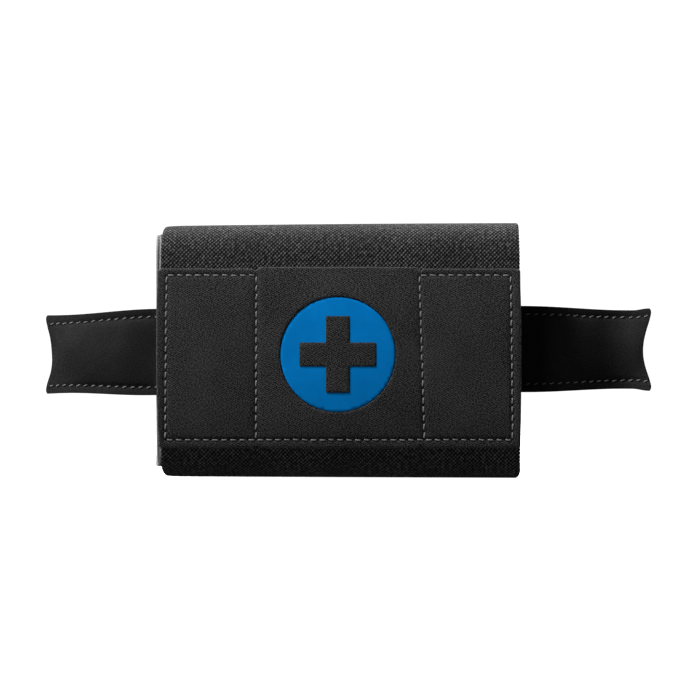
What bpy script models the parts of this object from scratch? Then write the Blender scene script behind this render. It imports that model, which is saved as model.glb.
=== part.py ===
"""A belt-worn trauma kit: an elastic sleeve and the pull-out insert in it, with a folded tourniquet inside.

The frame is in metres with +Z up. The front faces -Y, and the two pull tabs stick out along -X and +X.
The origin is on the sleeve's flat bottom, halfway between its ends.
"""

import math

import bmesh
import bpy
from mathutils import Matrix, Vector

MM = 0.001
GAP = 0.3 * MM  # the air left between pieces that lie on each other

# The sleeve: a band of woven elastic that is sewn round a back panel and is open at both ends.
SLEEVE_HALF = 74.7 * MM
SLEEVE_HEIGHT = 105.6 * MM
SLEEVE_FRONT = -25.0 * MM
SLEEVE_BACK = 25.0 * MM
ELASTIC = 1.8 * MM
BULGE_RADIUS = 290 * MM  # the front is slightly domed from top to bottom
FRONT_CORNER = 16 * MM
BACK_CORNER = 8 * MM
LIP = 12 * MM  # how far the elastic laps over the back panel's top and bottom edges

BACK_PANEL_HALF = 76.2 * MM
BACK_PANEL = 1.4 * MM
BACK_PANEL_OUTER = SLEEVE_BACK - ELASTIC - GAP
BACK_PANEL_EDGE = 7.4 * MM  # its top and bottom edges, in from the sleeve's

# The stitched front panel and its emblem, a disc with a plain cross on it.
FRONT_PANEL_HALF = 75.9 * MM
FRONT_PANEL = 0.8 * MM
FRONT_PANEL_LOW = 11.9 * MM
FRONT_PANEL_HIGH = 86.8 * MM
SECTION_X = 34 * MM  # the two seams that part the front panel into three
NOTCH_RADIUS = 1.3 * MM
EMBLEM_Z = 50.9 * MM
EMBLEM_RADIUS = 24 * MM
EMBLEM_LAYER = 0.3 * MM
CROSS_LAYER = 0.4 * MM
CROSS_ARM = 10 * MM
CROSS_LENGTH = 32 * MM

# The belt loops: a sewn anchor on top, a hinge of bare webbing, and a snap below.
LOOP_X = 38 * MM
LOOP_HALF = 19 * MM
LOOP = 2.2 * MM
LOOP_HINGE_Y = SLEEVE_BACK + GAP + LOOP / 2
LOOP_HINGE_Z = 84.7 * MM
LOOP_REACH = 3.2 * MM  # leaves the anchor clear of the loop's bend when the loop is folded open
LOOP_CHANNEL_Y = 30.2 * MM
LOOP_SNAP_Y = 29.6 * MM
LOOP_LOW = 8.6 * MM
LOOP_STEP = 8 * MM
ANCHOR_HIGH = 97 * MM
SNAP_Z = 15 * MM
SNAP_HOLE = 2.3 * MM

# The insert: one laminate panel in a Z fold, whose middle leaf carries the pull strap.
INSERT_X = -1.7 * MM  # it sits a little to the left in the sleeve
INSERT_HALF = 74.8 * MM
INSERT_LEAF = 1.0 * MM
INSERT_SLACK = 0.5 * MM
INSERT_TOP = 100.1 * MM
BACK_LEAF_Y = 19.7 * MM
BACK_LEAF_LOW = 6.5 * MM

STRAP = 2.0 * MM
STRAP_Y = -1.8 * MM
STRAP_Z = 51.7 * MM
STRAP_HALF = 17.8 * MM
TAB_HINGE_X = 77.3 * MM
TAB_REACH = 1.5 * MM  # leaves the strap clear of the tab's corners as the tab turns

POCKET = 1.2 * MM
POCKET_LOW = 17 * MM
POCKET_HIGH = 83 * MM
POCKET_HALF = 73 * MM
POCKET_FRONT_Y = -18.2 * MM
POCKET_BACK_Y = 18.3 * MM

# The folded tourniquet.
TQ_STRAP = 1.4 * MM
TQ_PITCH = 1.75 * MM
TQ_HALF_LENGTH = 60 * MM
TQ_LAYERS = 4
TQ_LOW = 31 * MM
TQ_HIGH = 69 * MM
ROD_Y = 13.4 * MM
ROD_Z = 50 * MM

FINISHES = {  # base colour, roughness, metallic
    "woven_elastic": ((0.030, 0.030, 0.030), 0.80, 0.0),
    "laminate": ((0.022, 0.022, 0.022), 0.70, 0.0),
    "emblem_blue": ((0.001, 0.160, 0.500), 0.50, 0.0),
    "webbing": ((0.012, 0.012, 0.012), 0.75, 0.0),
    "pull_tape": ((0.012, 0.012, 0.013), 0.60, 0.0),
    "snap_metal": ((0.020, 0.020, 0.020), 0.35, 1.0),
    "insert_laminate": ((0.060, 0.060, 0.062), 0.65, 0.0),
    "tourniquet_strap": ((0.015, 0.015, 0.015), 0.80, 0.0),
    "tourniquet_plastic": ((0.020, 0.020, 0.022), 0.45, 0.0),
    "time_tag": ((0.700, 0.700, 0.680), 0.60, 0.0),
    "gauze_film": ((0.220, 0.260, 0.140), 0.30, 0.0),
    "dressing_film": ((0.520, 0.440, 0.300), 0.35, 0.0),
    "seal_film": ((0.620, 0.640, 0.650), 0.30, 0.0),
    "glove_nitrile": ((0.030, 0.120, 0.330), 0.50, 0.0),
    "marker_plastic": ((0.025, 0.025, 0.025), 0.40, 0.0),
}


def start_scene():
    """Empties the scene and makes the collections for the kit and for its cutters."""
    for obj in list(bpy.data.objects):
        bpy.data.objects.remove(obj, do_unlink=True)
    for name in ("trauma_kit", "cutters"):
        collection = bpy.data.collections.new(name)
        bpy.context.scene.collection.children.link(collection)


def finish(name):
    """The material of that name, made on first use."""
    found = bpy.data.materials.get(name)
    if found:
        return found
    colour, roughness, metallic = FINISHES[name]
    made = bpy.data.materials.new(name)
    made.use_nodes = True
    shader = made.node_tree.nodes["Principled BSDF"]
    shader.inputs["Base Color"].default_value = (*colour, 1.0)
    shader.inputs["Roughness"].default_value = roughness
    shader.inputs["Metallic"].default_value = metallic
    return made


def body(name, x=0.0, y=0.0, z=0.0):
    """An empty on a body's joint axis, which that body's pieces are parented to."""
    empty = bpy.data.objects.new(name, None)
    empty.location = (x, y, z)
    bpy.data.collections["trauma_kit"].objects.link(empty)
    return empty


def add_piece(name, data, parent, material):
    """An object in the kit, placed in world coordinates whatever its parent's place."""
    obj = bpy.data.objects.new(name, data)
    data.materials.append(finish(material))
    bpy.data.collections["trauma_kit"].objects.link(obj)
    obj.parent = parent
    obj.matrix_parent_inverse = Matrix.Translation(-parent.location)
    return obj


def mesh_from(bm, name):
    mesh = bpy.data.meshes.new(name)
    bm.to_mesh(mesh)
    bm.free()
    return mesh


def smooth(obj, angle=35):
    obj.data.shade_smooth()
    obj.data.set_sharp_from_angle(angle=math.radians(angle))


def arc(centre, radius, start, end, steps):
    """Points on a circle in a plane, from one angle to the other, in degrees from its first axis."""
    angles = [math.radians(start + (end - start) * i / steps) for i in range(steps + 1)]
    return [(centre[0] + radius * math.cos(a), centre[1] + radius * math.sin(a)) for a in angles]


def ease(t):
    """Runs from 0 to 1 with level ends."""
    return (1 - math.cos(math.pi * max(0.0, min(1.0, t)))) / 2


def ribbon_outline(path, thickness):
    """The closed outline of a band whose middle line is the path."""
    sides = ([], [])
    for i, point in enumerate(path):
        before = Vector(path[max(i - 1, 0)])
        after = Vector(path[min(i + 1, len(path) - 1)])
        along = (after - before).normalized()
        for side, sign in zip(sides, (1, -1)):
            offset = Vector((-along.y, along.x)) * sign * thickness / 2
            side.append(Vector(point) + offset)
    return sides[0] + sides[1][::-1]


def extruded(name, outlines, run, low, high, parent, material):
    """Flat outlines made thick along X, Y or Z; the first is the edge and any others are holes in it."""
    curve = bpy.data.curves.new(name, "CURVE")
    curve.dimensions = "2D"
    curve.fill_mode = "BOTH"
    curve.extrude = (high - low) / 2
    for outline in outlines:
        spline = curve.splines.new("POLY")
        spline.points.add(len(outline) - 1)
        for point, (a, b) in zip(spline.points, outline):
            point.co = (a, b, 0, 1)
        spline.use_cyclic_u = True
    obj = add_piece(name, curve, parent, material)
    middle = (low + high) / 2
    if run == "X":  # the outline is in Y and Z
        obj.rotation_euler = (math.pi / 2, 0, math.pi / 2)
        obj.location.x = middle
    elif run == "Y":  # the outline is in X and Z
        obj.rotation_euler = (math.pi / 2, 0, 0)
        obj.location.y = middle
    else:
        obj.location.z = middle
    return obj


def ribbon(name, path, thickness, run, low, high, parent, material):
    """A band of even thickness that follows a path in the plane across its run."""
    outline = ribbon_outline(path, thickness)
    return extruded(name, [outline], run, low, high, parent, material)


def as_mesh(obj):
    """The curve object's own shape as a mesh object with welded caps, for a Boolean."""
    bpy.context.view_layer.update()
    graph = bpy.context.evaluated_depsgraph_get()
    mesh = bpy.data.meshes.new_from_object(obj.evaluated_get(graph))
    bm = bmesh.new()
    bm.from_mesh(mesh)
    bmesh.ops.remove_doubles(bm, verts=bm.verts, dist=1e-6)
    bmesh.ops.recalc_face_normals(bm, faces=bm.faces)
    bm.to_mesh(mesh)
    bm.free()
    name, parent, world = obj.name, obj.parent, obj.matrix_world.copy()
    bpy.data.objects.remove(obj)
    made = bpy.data.objects.new(name, mesh)
    bpy.data.collections["trauma_kit"].objects.link(made)
    made.parent = parent
    made.matrix_parent_inverse = Matrix.Translation(-parent.location)
    made.matrix_basis = world
    return made


def add_cutter(name, mesh, location, rotation):
    obj = bpy.data.objects.new(name, mesh)
    obj.location = location
    obj.rotation_euler = rotation
    obj.hide_render = True
    obj.display_type = "WIRE"
    bpy.data.collections["cutters"].objects.link(obj)
    return obj


def cylinder_cutter(name, x, z, radius, y=0.0, depth=120 * MM, segments=24):
    """A cylinder along Y."""
    bm = bmesh.new()
    bmesh.ops.create_cone(
        bm, cap_ends=True, segments=segments, radius1=radius, radius2=radius, depth=depth
    )
    return add_cutter(name, mesh_from(bm, name), (x, y, z), (math.pi / 2, 0, 0))


def snap_hole(name, x, y, depth):
    return cylinder_cutter(name, x, SNAP_Z, SNAP_HOLE, y=y, depth=depth, segments=16)


def apply_boolean(obj, cutter, operation="DIFFERENCE"):
    modifier = obj.modifiers.new(cutter.name, "BOOLEAN")
    modifier.operation = operation
    modifier.object = cutter


def rounded_box(name, low, high, radius, parent, material, segments=2):
    """A box from its lowest corner to its highest, with its edges rounded."""
    bm = bmesh.new()
    bmesh.ops.create_cube(bm, size=1.0)
    size = Vector(high) - Vector(low)
    bmesh.ops.scale(bm, vec=size, verts=bm.verts)
    obj = add_piece(name, mesh_from(bm, name), parent, material)
    obj.location = (Vector(low) + Vector(high)) / 2
    if radius:
        bevel = obj.modifiers.new("rounding", "BEVEL")
        bevel.width = radius
        bevel.segments = segments
    return obj


def turned(name, profile, location, along, parent, material, steps=20):
    """A profile of (radius, height) points turned about an axis along X or Y.

    The points run from the top down the outer side.
    """
    mesh = bpy.data.meshes.new(name)
    points = [(radius, 0, height) for radius, height in profile]
    edges = [(i, i + 1) for i in range(len(points) - 1)]
    if profile[0][0] > 0:  # a ring's profile closes on itself
        edges.append((len(points) - 1, 0))
    mesh.from_pydata(points, edges, [])
    obj = add_piece(name, mesh, parent, material)
    obj.location = location
    obj.rotation_euler = {"X": (0, math.pi / 2, 0), "Y": (-math.pi / 2, 0, 0)}[along]
    screw = obj.modifiers.new("turning", "SCREW")
    screw.steps = steps
    screw.render_steps = steps
    screw.use_merge_vertices = True
    screw.merge_threshold = 0.00001
    screw.use_smooth_shade = True
    return obj


# Shapes that several pieces follow


def bulge_centre():
    return SLEEVE_FRONT + BULGE_RADIUS, SLEEVE_HEIGHT / 2


def front_corner():
    """The middle of the front top corner's circle, and the angle where it runs into the domed front."""
    rise = SLEEVE_HEIGHT / 2 - FRONT_CORNER
    reach = BULGE_RADIUS - FRONT_CORNER
    y = bulge_centre()[0] - math.sqrt(reach**2 - rise**2)
    return y, SLEEVE_HEIGHT - FRONT_CORNER, 180 - math.degrees(math.asin(rise / reach))


def sleeve_path(inset):
    """The elastic's line in Y and Z at that depth under its outer face.

    It runs from the upper lip, round the front, to the lower lip.
    """
    corner_y, corner_z, turn = front_corner()
    back_y = SLEEVE_BACK - BACK_CORNER
    back_z = SLEEVE_HEIGHT - BACK_CORNER
    path = [(SLEEVE_BACK - inset, back_z - LIP)]
    path += arc((back_y, back_z), BACK_CORNER - inset, 0, 90, 5)
    path += arc((corner_y, corner_z), FRONT_CORNER - inset, 90, turn, 7)
    path += arc(bulge_centre(), BULGE_RADIUS - inset, turn, 360 - turn, 8)[1:]
    path += arc((corner_y, FRONT_CORNER), FRONT_CORNER - inset, 360 - turn, 270, 7)[1:]
    path += arc((back_y, BACK_CORNER), BACK_CORNER - inset, 270, 360, 5)
    path.append((SLEEVE_BACK - inset, BACK_CORNER + LIP))
    return path


def front_path(proud, low, high, steps=8):
    """The domed front's line in Y and Z, that far in front of the elastic's face, between two heights."""
    radius = BULGE_RADIUS + proud
    middle = bulge_centre()[1]
    start = 180 - math.degrees(math.asin((high - middle) / radius))
    end = 180 + math.degrees(math.asin((middle - low) / radius))
    return arc(bulge_centre(), radius, start, end, steps)


# The sleeve


def make_sleeve(parent):
    path = sleeve_path(ELASTIC / 2)
    half = SLEEVE_HALF
    elastic = as_mesh(ribbon("sleeve_elastic", path, ELASTIC, "X", -half, half, parent, "woven_elastic"))
    back_panel = rounded_box(
        "sleeve_back_panel",
        (-BACK_PANEL_HALF, BACK_PANEL_OUTER - BACK_PANEL, BACK_PANEL_EDGE),
        (BACK_PANEL_HALF, BACK_PANEL_OUTER, SLEEVE_HEIGHT - BACK_PANEL_EDGE),
        0,
        parent,
        "laminate",
    )
    for side, word in ((-1, "left"), (1, "right")):
        hole = snap_hole(f"{word}_snap_hole", side * LOOP_X, SLEEVE_BACK, 12 * MM)
        apply_boolean(elastic, hole)
        apply_boolean(back_panel, hole)


def make_front_panel(parent):
    """The laminate front with a round window and four small notches where its seams meet its edges."""
    proud = GAP + FRONT_PANEL / 2
    path = front_path(proud, FRONT_PANEL_LOW, FRONT_PANEL_HIGH)
    half = FRONT_PANEL_HALF
    panel = as_mesh(ribbon("front_panel", path, FRONT_PANEL, "X", -half, half, parent, "laminate"))
    window = cylinder_cutter("emblem_window", 0, EMBLEM_Z, EMBLEM_RADIUS + GAP, segments=40)
    apply_boolean(panel, window)
    for x in (-SECTION_X, SECTION_X):
        for z in (FRONT_PANEL_LOW, FRONT_PANEL_HIGH):
            notch = cylinder_cutter(f"notch_{x:.3f}_{z:.3f}", x, z, NOTCH_RADIUS, segments=10)
            apply_boolean(panel, notch)


def cross_outline():
    """A plain cross with square ends, round the emblem's middle."""
    arm, tip = CROSS_ARM / 2, CROSS_LENGTH / 2
    quarter = [(arm, arm), (arm, tip), (-arm, tip)]
    points = []
    for turn in range(4):
        for x, z in quarter:
            for _ in range(turn):
                x, z = -z, x
            points.append((x, EMBLEM_Z + z))
    return points


def make_emblem(parent):
    low, high = EMBLEM_Z - EMBLEM_RADIUS - 2 * MM, EMBLEM_Z + EMBLEM_RADIUS + 2 * MM
    half = EMBLEM_RADIUS + 2 * MM
    path = front_path(GAP + EMBLEM_LAYER / 2, low, high)
    disc = as_mesh(ribbon("emblem_disc", path, EMBLEM_LAYER, "X", -half, half, parent, "emblem_blue"))
    rim = cylinder_cutter("emblem_rim", 0, EMBLEM_Z, EMBLEM_RADIUS, segments=40)
    apply_boolean(disc, rim, "INTERSECT")

    path = front_path(2 * GAP + EMBLEM_LAYER + CROSS_LAYER / 2, low, high)
    cross = as_mesh(ribbon("emblem_cross", path, CROSS_LAYER, "X", -half, half, parent, "laminate"))
    shape = as_mesh(
        extruded("emblem_cross_shape", [cross_outline()], "Y", -60 * MM, 60 * MM, parent, "laminate")
    )
    shape.hide_render = True
    shape.display_type = "WIRE"
    bpy.data.collections["trauma_kit"].objects.unlink(shape)
    bpy.data.collections["cutters"].objects.link(shape)
    apply_boolean(cross, shape, "INTERSECT")


# The belt loops and their snaps


def loop_path():
    """From the hinge out over the belt channel, down it, and a little in again to the snap."""
    top = LOOP_HINGE_Z - GAP
    path = []
    for i in range(7):
        y = LOOP_HINGE_Y + (LOOP_CHANNEL_Y - LOOP_HINGE_Y) * ease(i / 6)
        path.append((y, top - LOOP_STEP * i / 6))
    snap_top = SNAP_Z + 9 * MM
    path += [(LOOP_CHANNEL_Y, snap_top), (LOOP_SNAP_Y, snap_top - 1.5 * MM), (LOOP_SNAP_Y, LOOP_LOW)]
    return path


def make_loop(side, word, sleeve, loop):
    low, high = side * LOOP_X - LOOP_HALF, side * LOOP_X + LOOP_HALF
    strap = ribbon(f"{word}_belt_loop", loop_path(), LOOP, "X", low, high, loop, "webbing")
    strap = as_mesh(strap)
    apply_boolean(strap, snap_hole(f"{word}_loop_hole", side * LOOP_X, LOOP_SNAP_Y, 8 * MM))
    rounded_box(
        f"{word}_loop_anchor",
        (low, LOOP_HINGE_Y - LOOP / 2, LOOP_HINGE_Z + LOOP_REACH),
        (high, LOOP_HINGE_Y + LOOP / 2, ANCHOR_HIGH),
        0,
        sleeve,
        "webbing",
    )


def make_snap(side, word, sleeve, loop):
    """The four metal pieces of a snap. Heights run outwards from the sleeve's middle along Y."""
    place = (side * LOOP_X, 0, SNAP_Z)
    panel_inner = BACK_PANEL_OUTER - BACK_PANEL
    strap_inner = LOOP_SNAP_Y - LOOP / 2
    strap_outer = LOOP_SNAP_Y + LOOP / 2
    base = SLEEVE_BACK + GAP
    barrel = SNAP_HOLE - GAP
    eyelet = [
        (0, SLEEVE_BACK),
        (barrel, SLEEVE_BACK),
        (barrel, panel_inner - GAP),
        (5.4 * MM, panel_inner - GAP),
        (5.4 * MM, panel_inner - 0.9 * MM),
        (0, panel_inner - 0.9 * MM),
    ]
    turned(f"{word}_snap_eyelet", eyelet, place, "Y", sleeve, "snap_metal")
    stud = [
        (0, base + 2.5 * MM),
        (1.6 * MM, base + 2.4 * MM),
        (2.1 * MM, base + 2.0 * MM),
        (2.1 * MM, base + 1.6 * MM),
        (1.7 * MM, base + 1.2 * MM),
        (1.7 * MM, base + 0.8 * MM),
        (5.8 * MM, base + 0.5 * MM),
        (5.8 * MM, base),
        (0, base),
    ]
    turned(f"{word}_snap_stud", stud, place, "Y", sleeve, "snap_metal")
    socket = [
        (2.5 * MM, strap_inner - GAP),
        (6.0 * MM, strap_inner - GAP),
        (6.0 * MM, strap_inner - 1.2 * MM),
        (4.2 * MM, strap_inner - 2.0 * MM),
        (2.5 * MM, strap_inner - 2.0 * MM),
    ]
    turned(f"{word}_snap_socket", socket, place, "Y", loop, "snap_metal")
    face = strap_outer + GAP
    cap = [
        (0, face + 1.9 * MM),
        (3.2 * MM, face + 1.8 * MM),
        (5.8 * MM, face + 1.3 * MM),
        (7.3 * MM, face + 0.6 * MM),
        (7.3 * MM, face),
        (barrel, face),
        (barrel, strap_inner),
        (0, strap_inner),
    ]
    turned(f"{word}_snap_cap", cap, place, "Y", loop, "snap_metal")


# The insert


def insert_path():
    """The Z-folded panel's middle line in Y and Z.

    It runs up the back leaf, over, down the middle leaf, under, and up the front leaf.
    """
    corner_y, corner_z, turn = front_corner()
    inset = ELASTIC + INSERT_SLACK + INSERT_LEAF / 2
    half_back = BACK_LEAF_Y / 2
    upper = (half_back, INSERT_TOP - half_back)
    front = arc(bulge_centre(), BULGE_RADIUS - inset, 360 - turn, turn, 8)
    half_front = -front[0][0] / 2
    lower = (-half_front, front[0][1])
    end = 180 - math.degrees(math.asin((INSERT_TOP - corner_z) / (FRONT_CORNER - inset)))
    path = [(BACK_LEAF_Y, BACK_LEAF_LOW)]
    path += arc(upper, half_back, 0, 180, 10)
    path += arc(lower, half_front, 360, 180, 10)
    path += front[1:]
    path += arc((corner_y, corner_z), FRONT_CORNER - inset, turn, end, 4)[1:]
    return path


def pocket_path(base, crown):
    """An elastic pocket's middle line in X and Y: sewn down at both ends and lifted over what it holds."""
    rise = 7 * MM
    left = [(-POCKET_HALF, base), (-POCKET_HALF + 3 * MM, base)]
    for i in range(1, 7):
        left.append((-POCKET_HALF + 3 * MM + rise * i / 6, base + (crown - base) * ease(i / 6)))
    return [(INSERT_X + x, y) for x, y in left] + [(INSERT_X - x, y) for x, y in reversed(left)]


def make_insert(parent):
    left, right = INSERT_X - INSERT_HALF, INSERT_X + INSERT_HALF
    ribbon("insert_panel", insert_path(), INSERT_LEAF, "X", left, right, parent, "insert_laminate")
    strap_end = TAB_HINGE_X - TAB_REACH
    rounded_box(
        "pull_strap",
        (-strap_end, STRAP_Y - STRAP / 2, STRAP_Z - STRAP_HALF),
        (strap_end, STRAP_Y + STRAP / 2, STRAP_Z + STRAP_HALF),
        0,
        parent,
        "pull_tape",
    )
    strap_front = STRAP_Y - STRAP / 2
    front = pocket_path(strap_front - GAP - POCKET / 2, POCKET_FRONT_Y)
    ribbon("front_pocket_elastic", front, POCKET, "Z", POCKET_LOW, POCKET_HIGH, parent, "woven_elastic")
    back = pocket_path(INSERT_LEAF / 2 + GAP + POCKET / 2, POCKET_BACK_Y)
    ribbon("back_pocket_elastic", back, POCKET, "Z", POCKET_LOW, POCKET_HIGH, parent, "woven_elastic")


def make_tab(side, word, length, turn, parent):
    """A pull tab: two layers of tape, sewn together along both edges and folded at the end.

    It curls back by the given angle, is narrower before its end, puffs up between its seams, and its end
    draws in at the middle.
    """
    bm = bmesh.new()
    bmesh.ops.create_grid(bm, x_segments=10, y_segments=8, size=0.5)
    bmesh.ops.solidify(bm, geom=bm.verts[:] + bm.edges[:] + bm.faces[:], thickness=1.0)
    for vert in bm.verts:
        u = vert.co.x + 0.5  # 0 at the hinge, 1 at the end
        v = 2 * vert.co.y  # -1 at the lower edge, 1 at the upper
        layer = 1 if vert.co.z > -0.5 else -1
        waist = 2.0 * MM * ease(u / 0.78) - 0.7 * MM * ease((u - 0.78) / 0.22)
        puff = 1.7 * MM * (1 - v**4) * ease(u / 0.9) * (1 - ease((u - 0.8) / 0.2))
        reach = GAP + length * math.sin(turn * u) / turn - 3.0 * MM * (1 - v**2) * u**6
        curl = length * (1 - math.cos(turn * u)) / turn
        away = layer * (STRAP / 2 - 0.4 * MM * u + puff)
        x = side * (TAB_HINGE_X + reach + away * math.sin(turn * u))
        y = STRAP_Y + curl - away * math.cos(turn * u)
        vert.co = (x, y, STRAP_Z + v * (STRAP_HALF - waist))
    bmesh.ops.recalc_face_normals(bm, faces=bm.faces)
    tab = add_piece(f"{word}_pull_tab", mesh_from(bm, f"{word}_pull_tab"), parent, "pull_tape")
    smooth(tab, 50)


# What the insert holds


def serpentine():
    """The tourniquet strap's middle line in X and Y: flat runs laid on each other, joined by tight turns."""
    path = []
    first = INSERT_LEAF / 2 + 0.4 * MM + TQ_STRAP / 2
    for layer in range(TQ_LAYERS):
        y = first + layer * TQ_PITCH
        side = 1 if layer % 2 == 0 else -1
        path += [(-side * TQ_HALF_LENGTH, y), (side * TQ_HALF_LENGTH, y)]
        if layer < TQ_LAYERS - 1:
            bend = arc((side * TQ_HALF_LENGTH, y + TQ_PITCH / 2), TQ_PITCH / 2, -90, 90, 6)[1:-1]
            path += [(side * TQ_HALF_LENGTH + side * (x - side * TQ_HALF_LENGTH), z) for x, z in bend]
    return [(INSERT_X + x, y) for x, y in path]


def make_tourniquet(parent):
    ribbon("tourniquet_strap", serpentine(), TQ_STRAP, "Z", TQ_LOW, TQ_HIGH, parent, "tourniquet_strap")
    top = INSERT_LEAF / 2 + 0.4 * MM + TQ_STRAP + (TQ_LAYERS - 1) * TQ_PITCH + GAP
    rounded_box(
        "tourniquet_base_plate",
        (INSERT_X - 30 * MM, top, TQ_LOW - 1 * MM),
        (INSERT_X + 30 * MM, top + 1.4 * MM, TQ_HIGH + 1 * MM),
        0.5 * MM,
        parent,
        "tourniquet_plastic",
        segments=1,
    )
    make_windlass(parent)
    make_clip(top, parent)
    make_buckle(top, parent)


def make_windlass(parent):
    """The rod that winds the strap tight: a grip with rings and narrowed ends."""
    half, radius = 54 * MM, 3.6 * MM
    profile = [(0, half), (1.8 * MM, half), (2.9 * MM, half - 1.2 * MM), (3.0 * MM, half - 9 * MM)]
    rings = 5
    for side in (1, -1):
        order = range(rings) if side == 1 else reversed(range(rings))
        for i in order:
            z = side * (half - 12 * MM - i * 6 * MM)
            for dz, r in ((1.5, 3.2), (0.0, 3.6), (-1.5, 3.2)):
                profile.append((r * MM, z + dz * MM))
        if side == 1:
            profile += [(radius, 12 * MM), (radius, -12 * MM)]
    profile += [(3.0 * MM, 9 * MM - half), (2.9 * MM, 1.2 * MM - half), (1.8 * MM, -half), (0, -half)]
    place = (INSERT_X + 9.5 * MM, ROD_Y, ROD_Z)
    turned("tourniquet_windlass", profile, place, "X", parent, "tourniquet_plastic", steps=14)


def make_clip(floor, parent):
    """The clip that the windlass's end lies in, and the tag that closes over it."""
    wall = 6.6 * MM
    thick = 1.4 * MM
    low = floor + thick / 2
    arm = [
        (16.1 * MM, wall - 1.4 * MM),
        (15.4 * MM, wall),
        (low + 1.5 * MM, wall),
        (low + 0.5 * MM, wall - 0.5 * MM),
        (low, wall - 1.7 * MM),
    ]
    path = [(y, ROD_Z - z) for y, z in arm] + [(y, ROD_Z + z) for y, z in reversed(arm)]
    left, right = INSERT_X + 36 * MM, INSERT_X + 54 * MM
    ribbon("tourniquet_clip", path, thick, "X", left, right, parent, "tourniquet_plastic")
    rounded_box(
        "tourniquet_time_tag",
        (left + 1 * MM, 17.05 * MM, ROD_Z - 9 * MM),
        (right - 1 * MM, 17.45 * MM, ROD_Z + 9 * MM),
        0,
        parent,
        "time_tag",
    )


def make_buckle(floor, parent):
    """The frame that the strap feeds through, with two slots either side of its bar."""
    width, bar, slot = 17 * MM, 3.1 * MM, 3.85 * MM
    left = INSERT_X - 63 * MM
    low, high = TQ_LOW - 3 * MM, TQ_HIGH + 3 * MM
    outlines = [[(left, low), (left + width, low), (left + width, high), (left, high)]]
    for i in range(2):
        start = left + bar + i * (slot + bar)
        end, floor_z, roof_z = start + slot, low + bar, high - bar
        outlines.append([(start, floor_z), (end, floor_z), (end, roof_z), (start, roof_z)])
    extruded("tourniquet_buckle", outlines, "Y", floor, floor + 3.5 * MM, parent, "tourniquet_plastic")


def make_supplies(parent):
    """The packets in the front pocket, and the gloves and marker beside the tourniquet."""
    front, back = POCKET_FRONT_Y + POCKET / 2 + GAP, -6.5 * MM
    for name, low, high, material in (
        ("gauze_pack", -62 * MM, -1.2 * MM, "gauze_film"),
        ("dressing_pack", 1.2 * MM, 62 * MM, "dressing_film"),
    ):
        corner_low = (INSERT_X + low, front, 14 * MM)
        corner_high = (INSERT_X + high, back, 85 * MM)
        rounded_box(name, corner_low, corner_high, 3 * MM, parent, material)
    for name, y in (("chest_seal_front", -6.2 * MM), ("chest_seal_back", -4.6 * MM)):
        corner_low = (INSERT_X - 60 * MM, y, 12 * MM)
        corner_high = (INSERT_X + 60 * MM, y + 1.2 * MM, 88 * MM)
        rounded_box(name, corner_low, corner_high, 0.3 * MM, parent, "seal_film", segments=1)
    rounded_box(
        "glove_bundle",
        (INSERT_X - 50 * MM, 1.4 * MM, 11 * MM),
        (INSERT_X + 50 * MM, 16.4 * MM, 26.5 * MM),
        5 * MM,
        parent,
        "glove_nitrile",
        segments=3,
    )
    radius, cap = 4.4 * MM, 5.0 * MM
    barrel = [(0, 22 * MM), (radius, 22 * MM), (radius, -56 * MM), (3.6 * MM, -58 * MM), (0, -58 * MM)]
    place = (INSERT_X, 9 * MM, 79 * MM)
    turned("marker_barrel", barrel, place, "X", parent, "marker_plastic", steps=16)
    tip = [(0, 58 * MM), (3.8 * MM, 57.5 * MM), (4.6 * MM, 55 * MM)]
    hood = tip + [(cap, 23 * MM), (cap, 22.3 * MM), (0, 22.3 * MM)]
    turned("marker_cap", hood, place, "X", parent, "marker_plastic", steps=16)


def main():
    start_scene()
    sleeve = body("sleeve_body")
    insert = body("insert_body", x=INSERT_X)
    make_sleeve(sleeve)
    make_front_panel(sleeve)
    make_emblem(sleeve)
    for side, word in ((-1, "left"), (1, "right")):
        loop = body(f"{word}_loop_body", side * LOOP_X, LOOP_HINGE_Y, LOOP_HINGE_Z)
        make_loop(side, word, sleeve, loop)
        make_snap(side, word, sleeve, loop)
    make_insert(insert)
    make_tourniquet(insert)
    make_supplies(insert)
    for side, word, length, turn in ((-1, "left", 47.5 * MM, 0.70), (1, "right", 53.6 * MM, 0.20)):
        tab = body(f"{word}_tab_body", side * TAB_HINGE_X, STRAP_Y, STRAP_Z)
        make_tab(side, word, length, turn, tab)


main()
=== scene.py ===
"""The looks of the belt trauma kit: woven elastic, laminate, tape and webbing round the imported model."""

import math

import bmesh
import bpy
import numpy as np
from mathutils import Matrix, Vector, geometry, noise


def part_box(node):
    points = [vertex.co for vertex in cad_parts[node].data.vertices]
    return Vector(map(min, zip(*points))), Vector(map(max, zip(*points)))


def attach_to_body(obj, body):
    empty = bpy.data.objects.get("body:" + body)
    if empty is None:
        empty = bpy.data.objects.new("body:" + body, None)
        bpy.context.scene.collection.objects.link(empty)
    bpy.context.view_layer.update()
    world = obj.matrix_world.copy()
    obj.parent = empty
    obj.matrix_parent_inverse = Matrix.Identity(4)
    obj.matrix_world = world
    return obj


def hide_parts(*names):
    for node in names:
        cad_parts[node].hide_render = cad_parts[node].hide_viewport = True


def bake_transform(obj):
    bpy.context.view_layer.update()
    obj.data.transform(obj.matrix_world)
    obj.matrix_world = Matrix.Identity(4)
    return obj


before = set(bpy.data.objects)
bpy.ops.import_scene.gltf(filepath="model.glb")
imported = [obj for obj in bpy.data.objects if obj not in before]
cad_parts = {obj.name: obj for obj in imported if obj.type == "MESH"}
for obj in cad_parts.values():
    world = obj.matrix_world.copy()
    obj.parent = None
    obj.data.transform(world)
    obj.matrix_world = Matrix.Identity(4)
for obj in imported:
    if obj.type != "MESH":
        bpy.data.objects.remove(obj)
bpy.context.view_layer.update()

MM = 0.001

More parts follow.
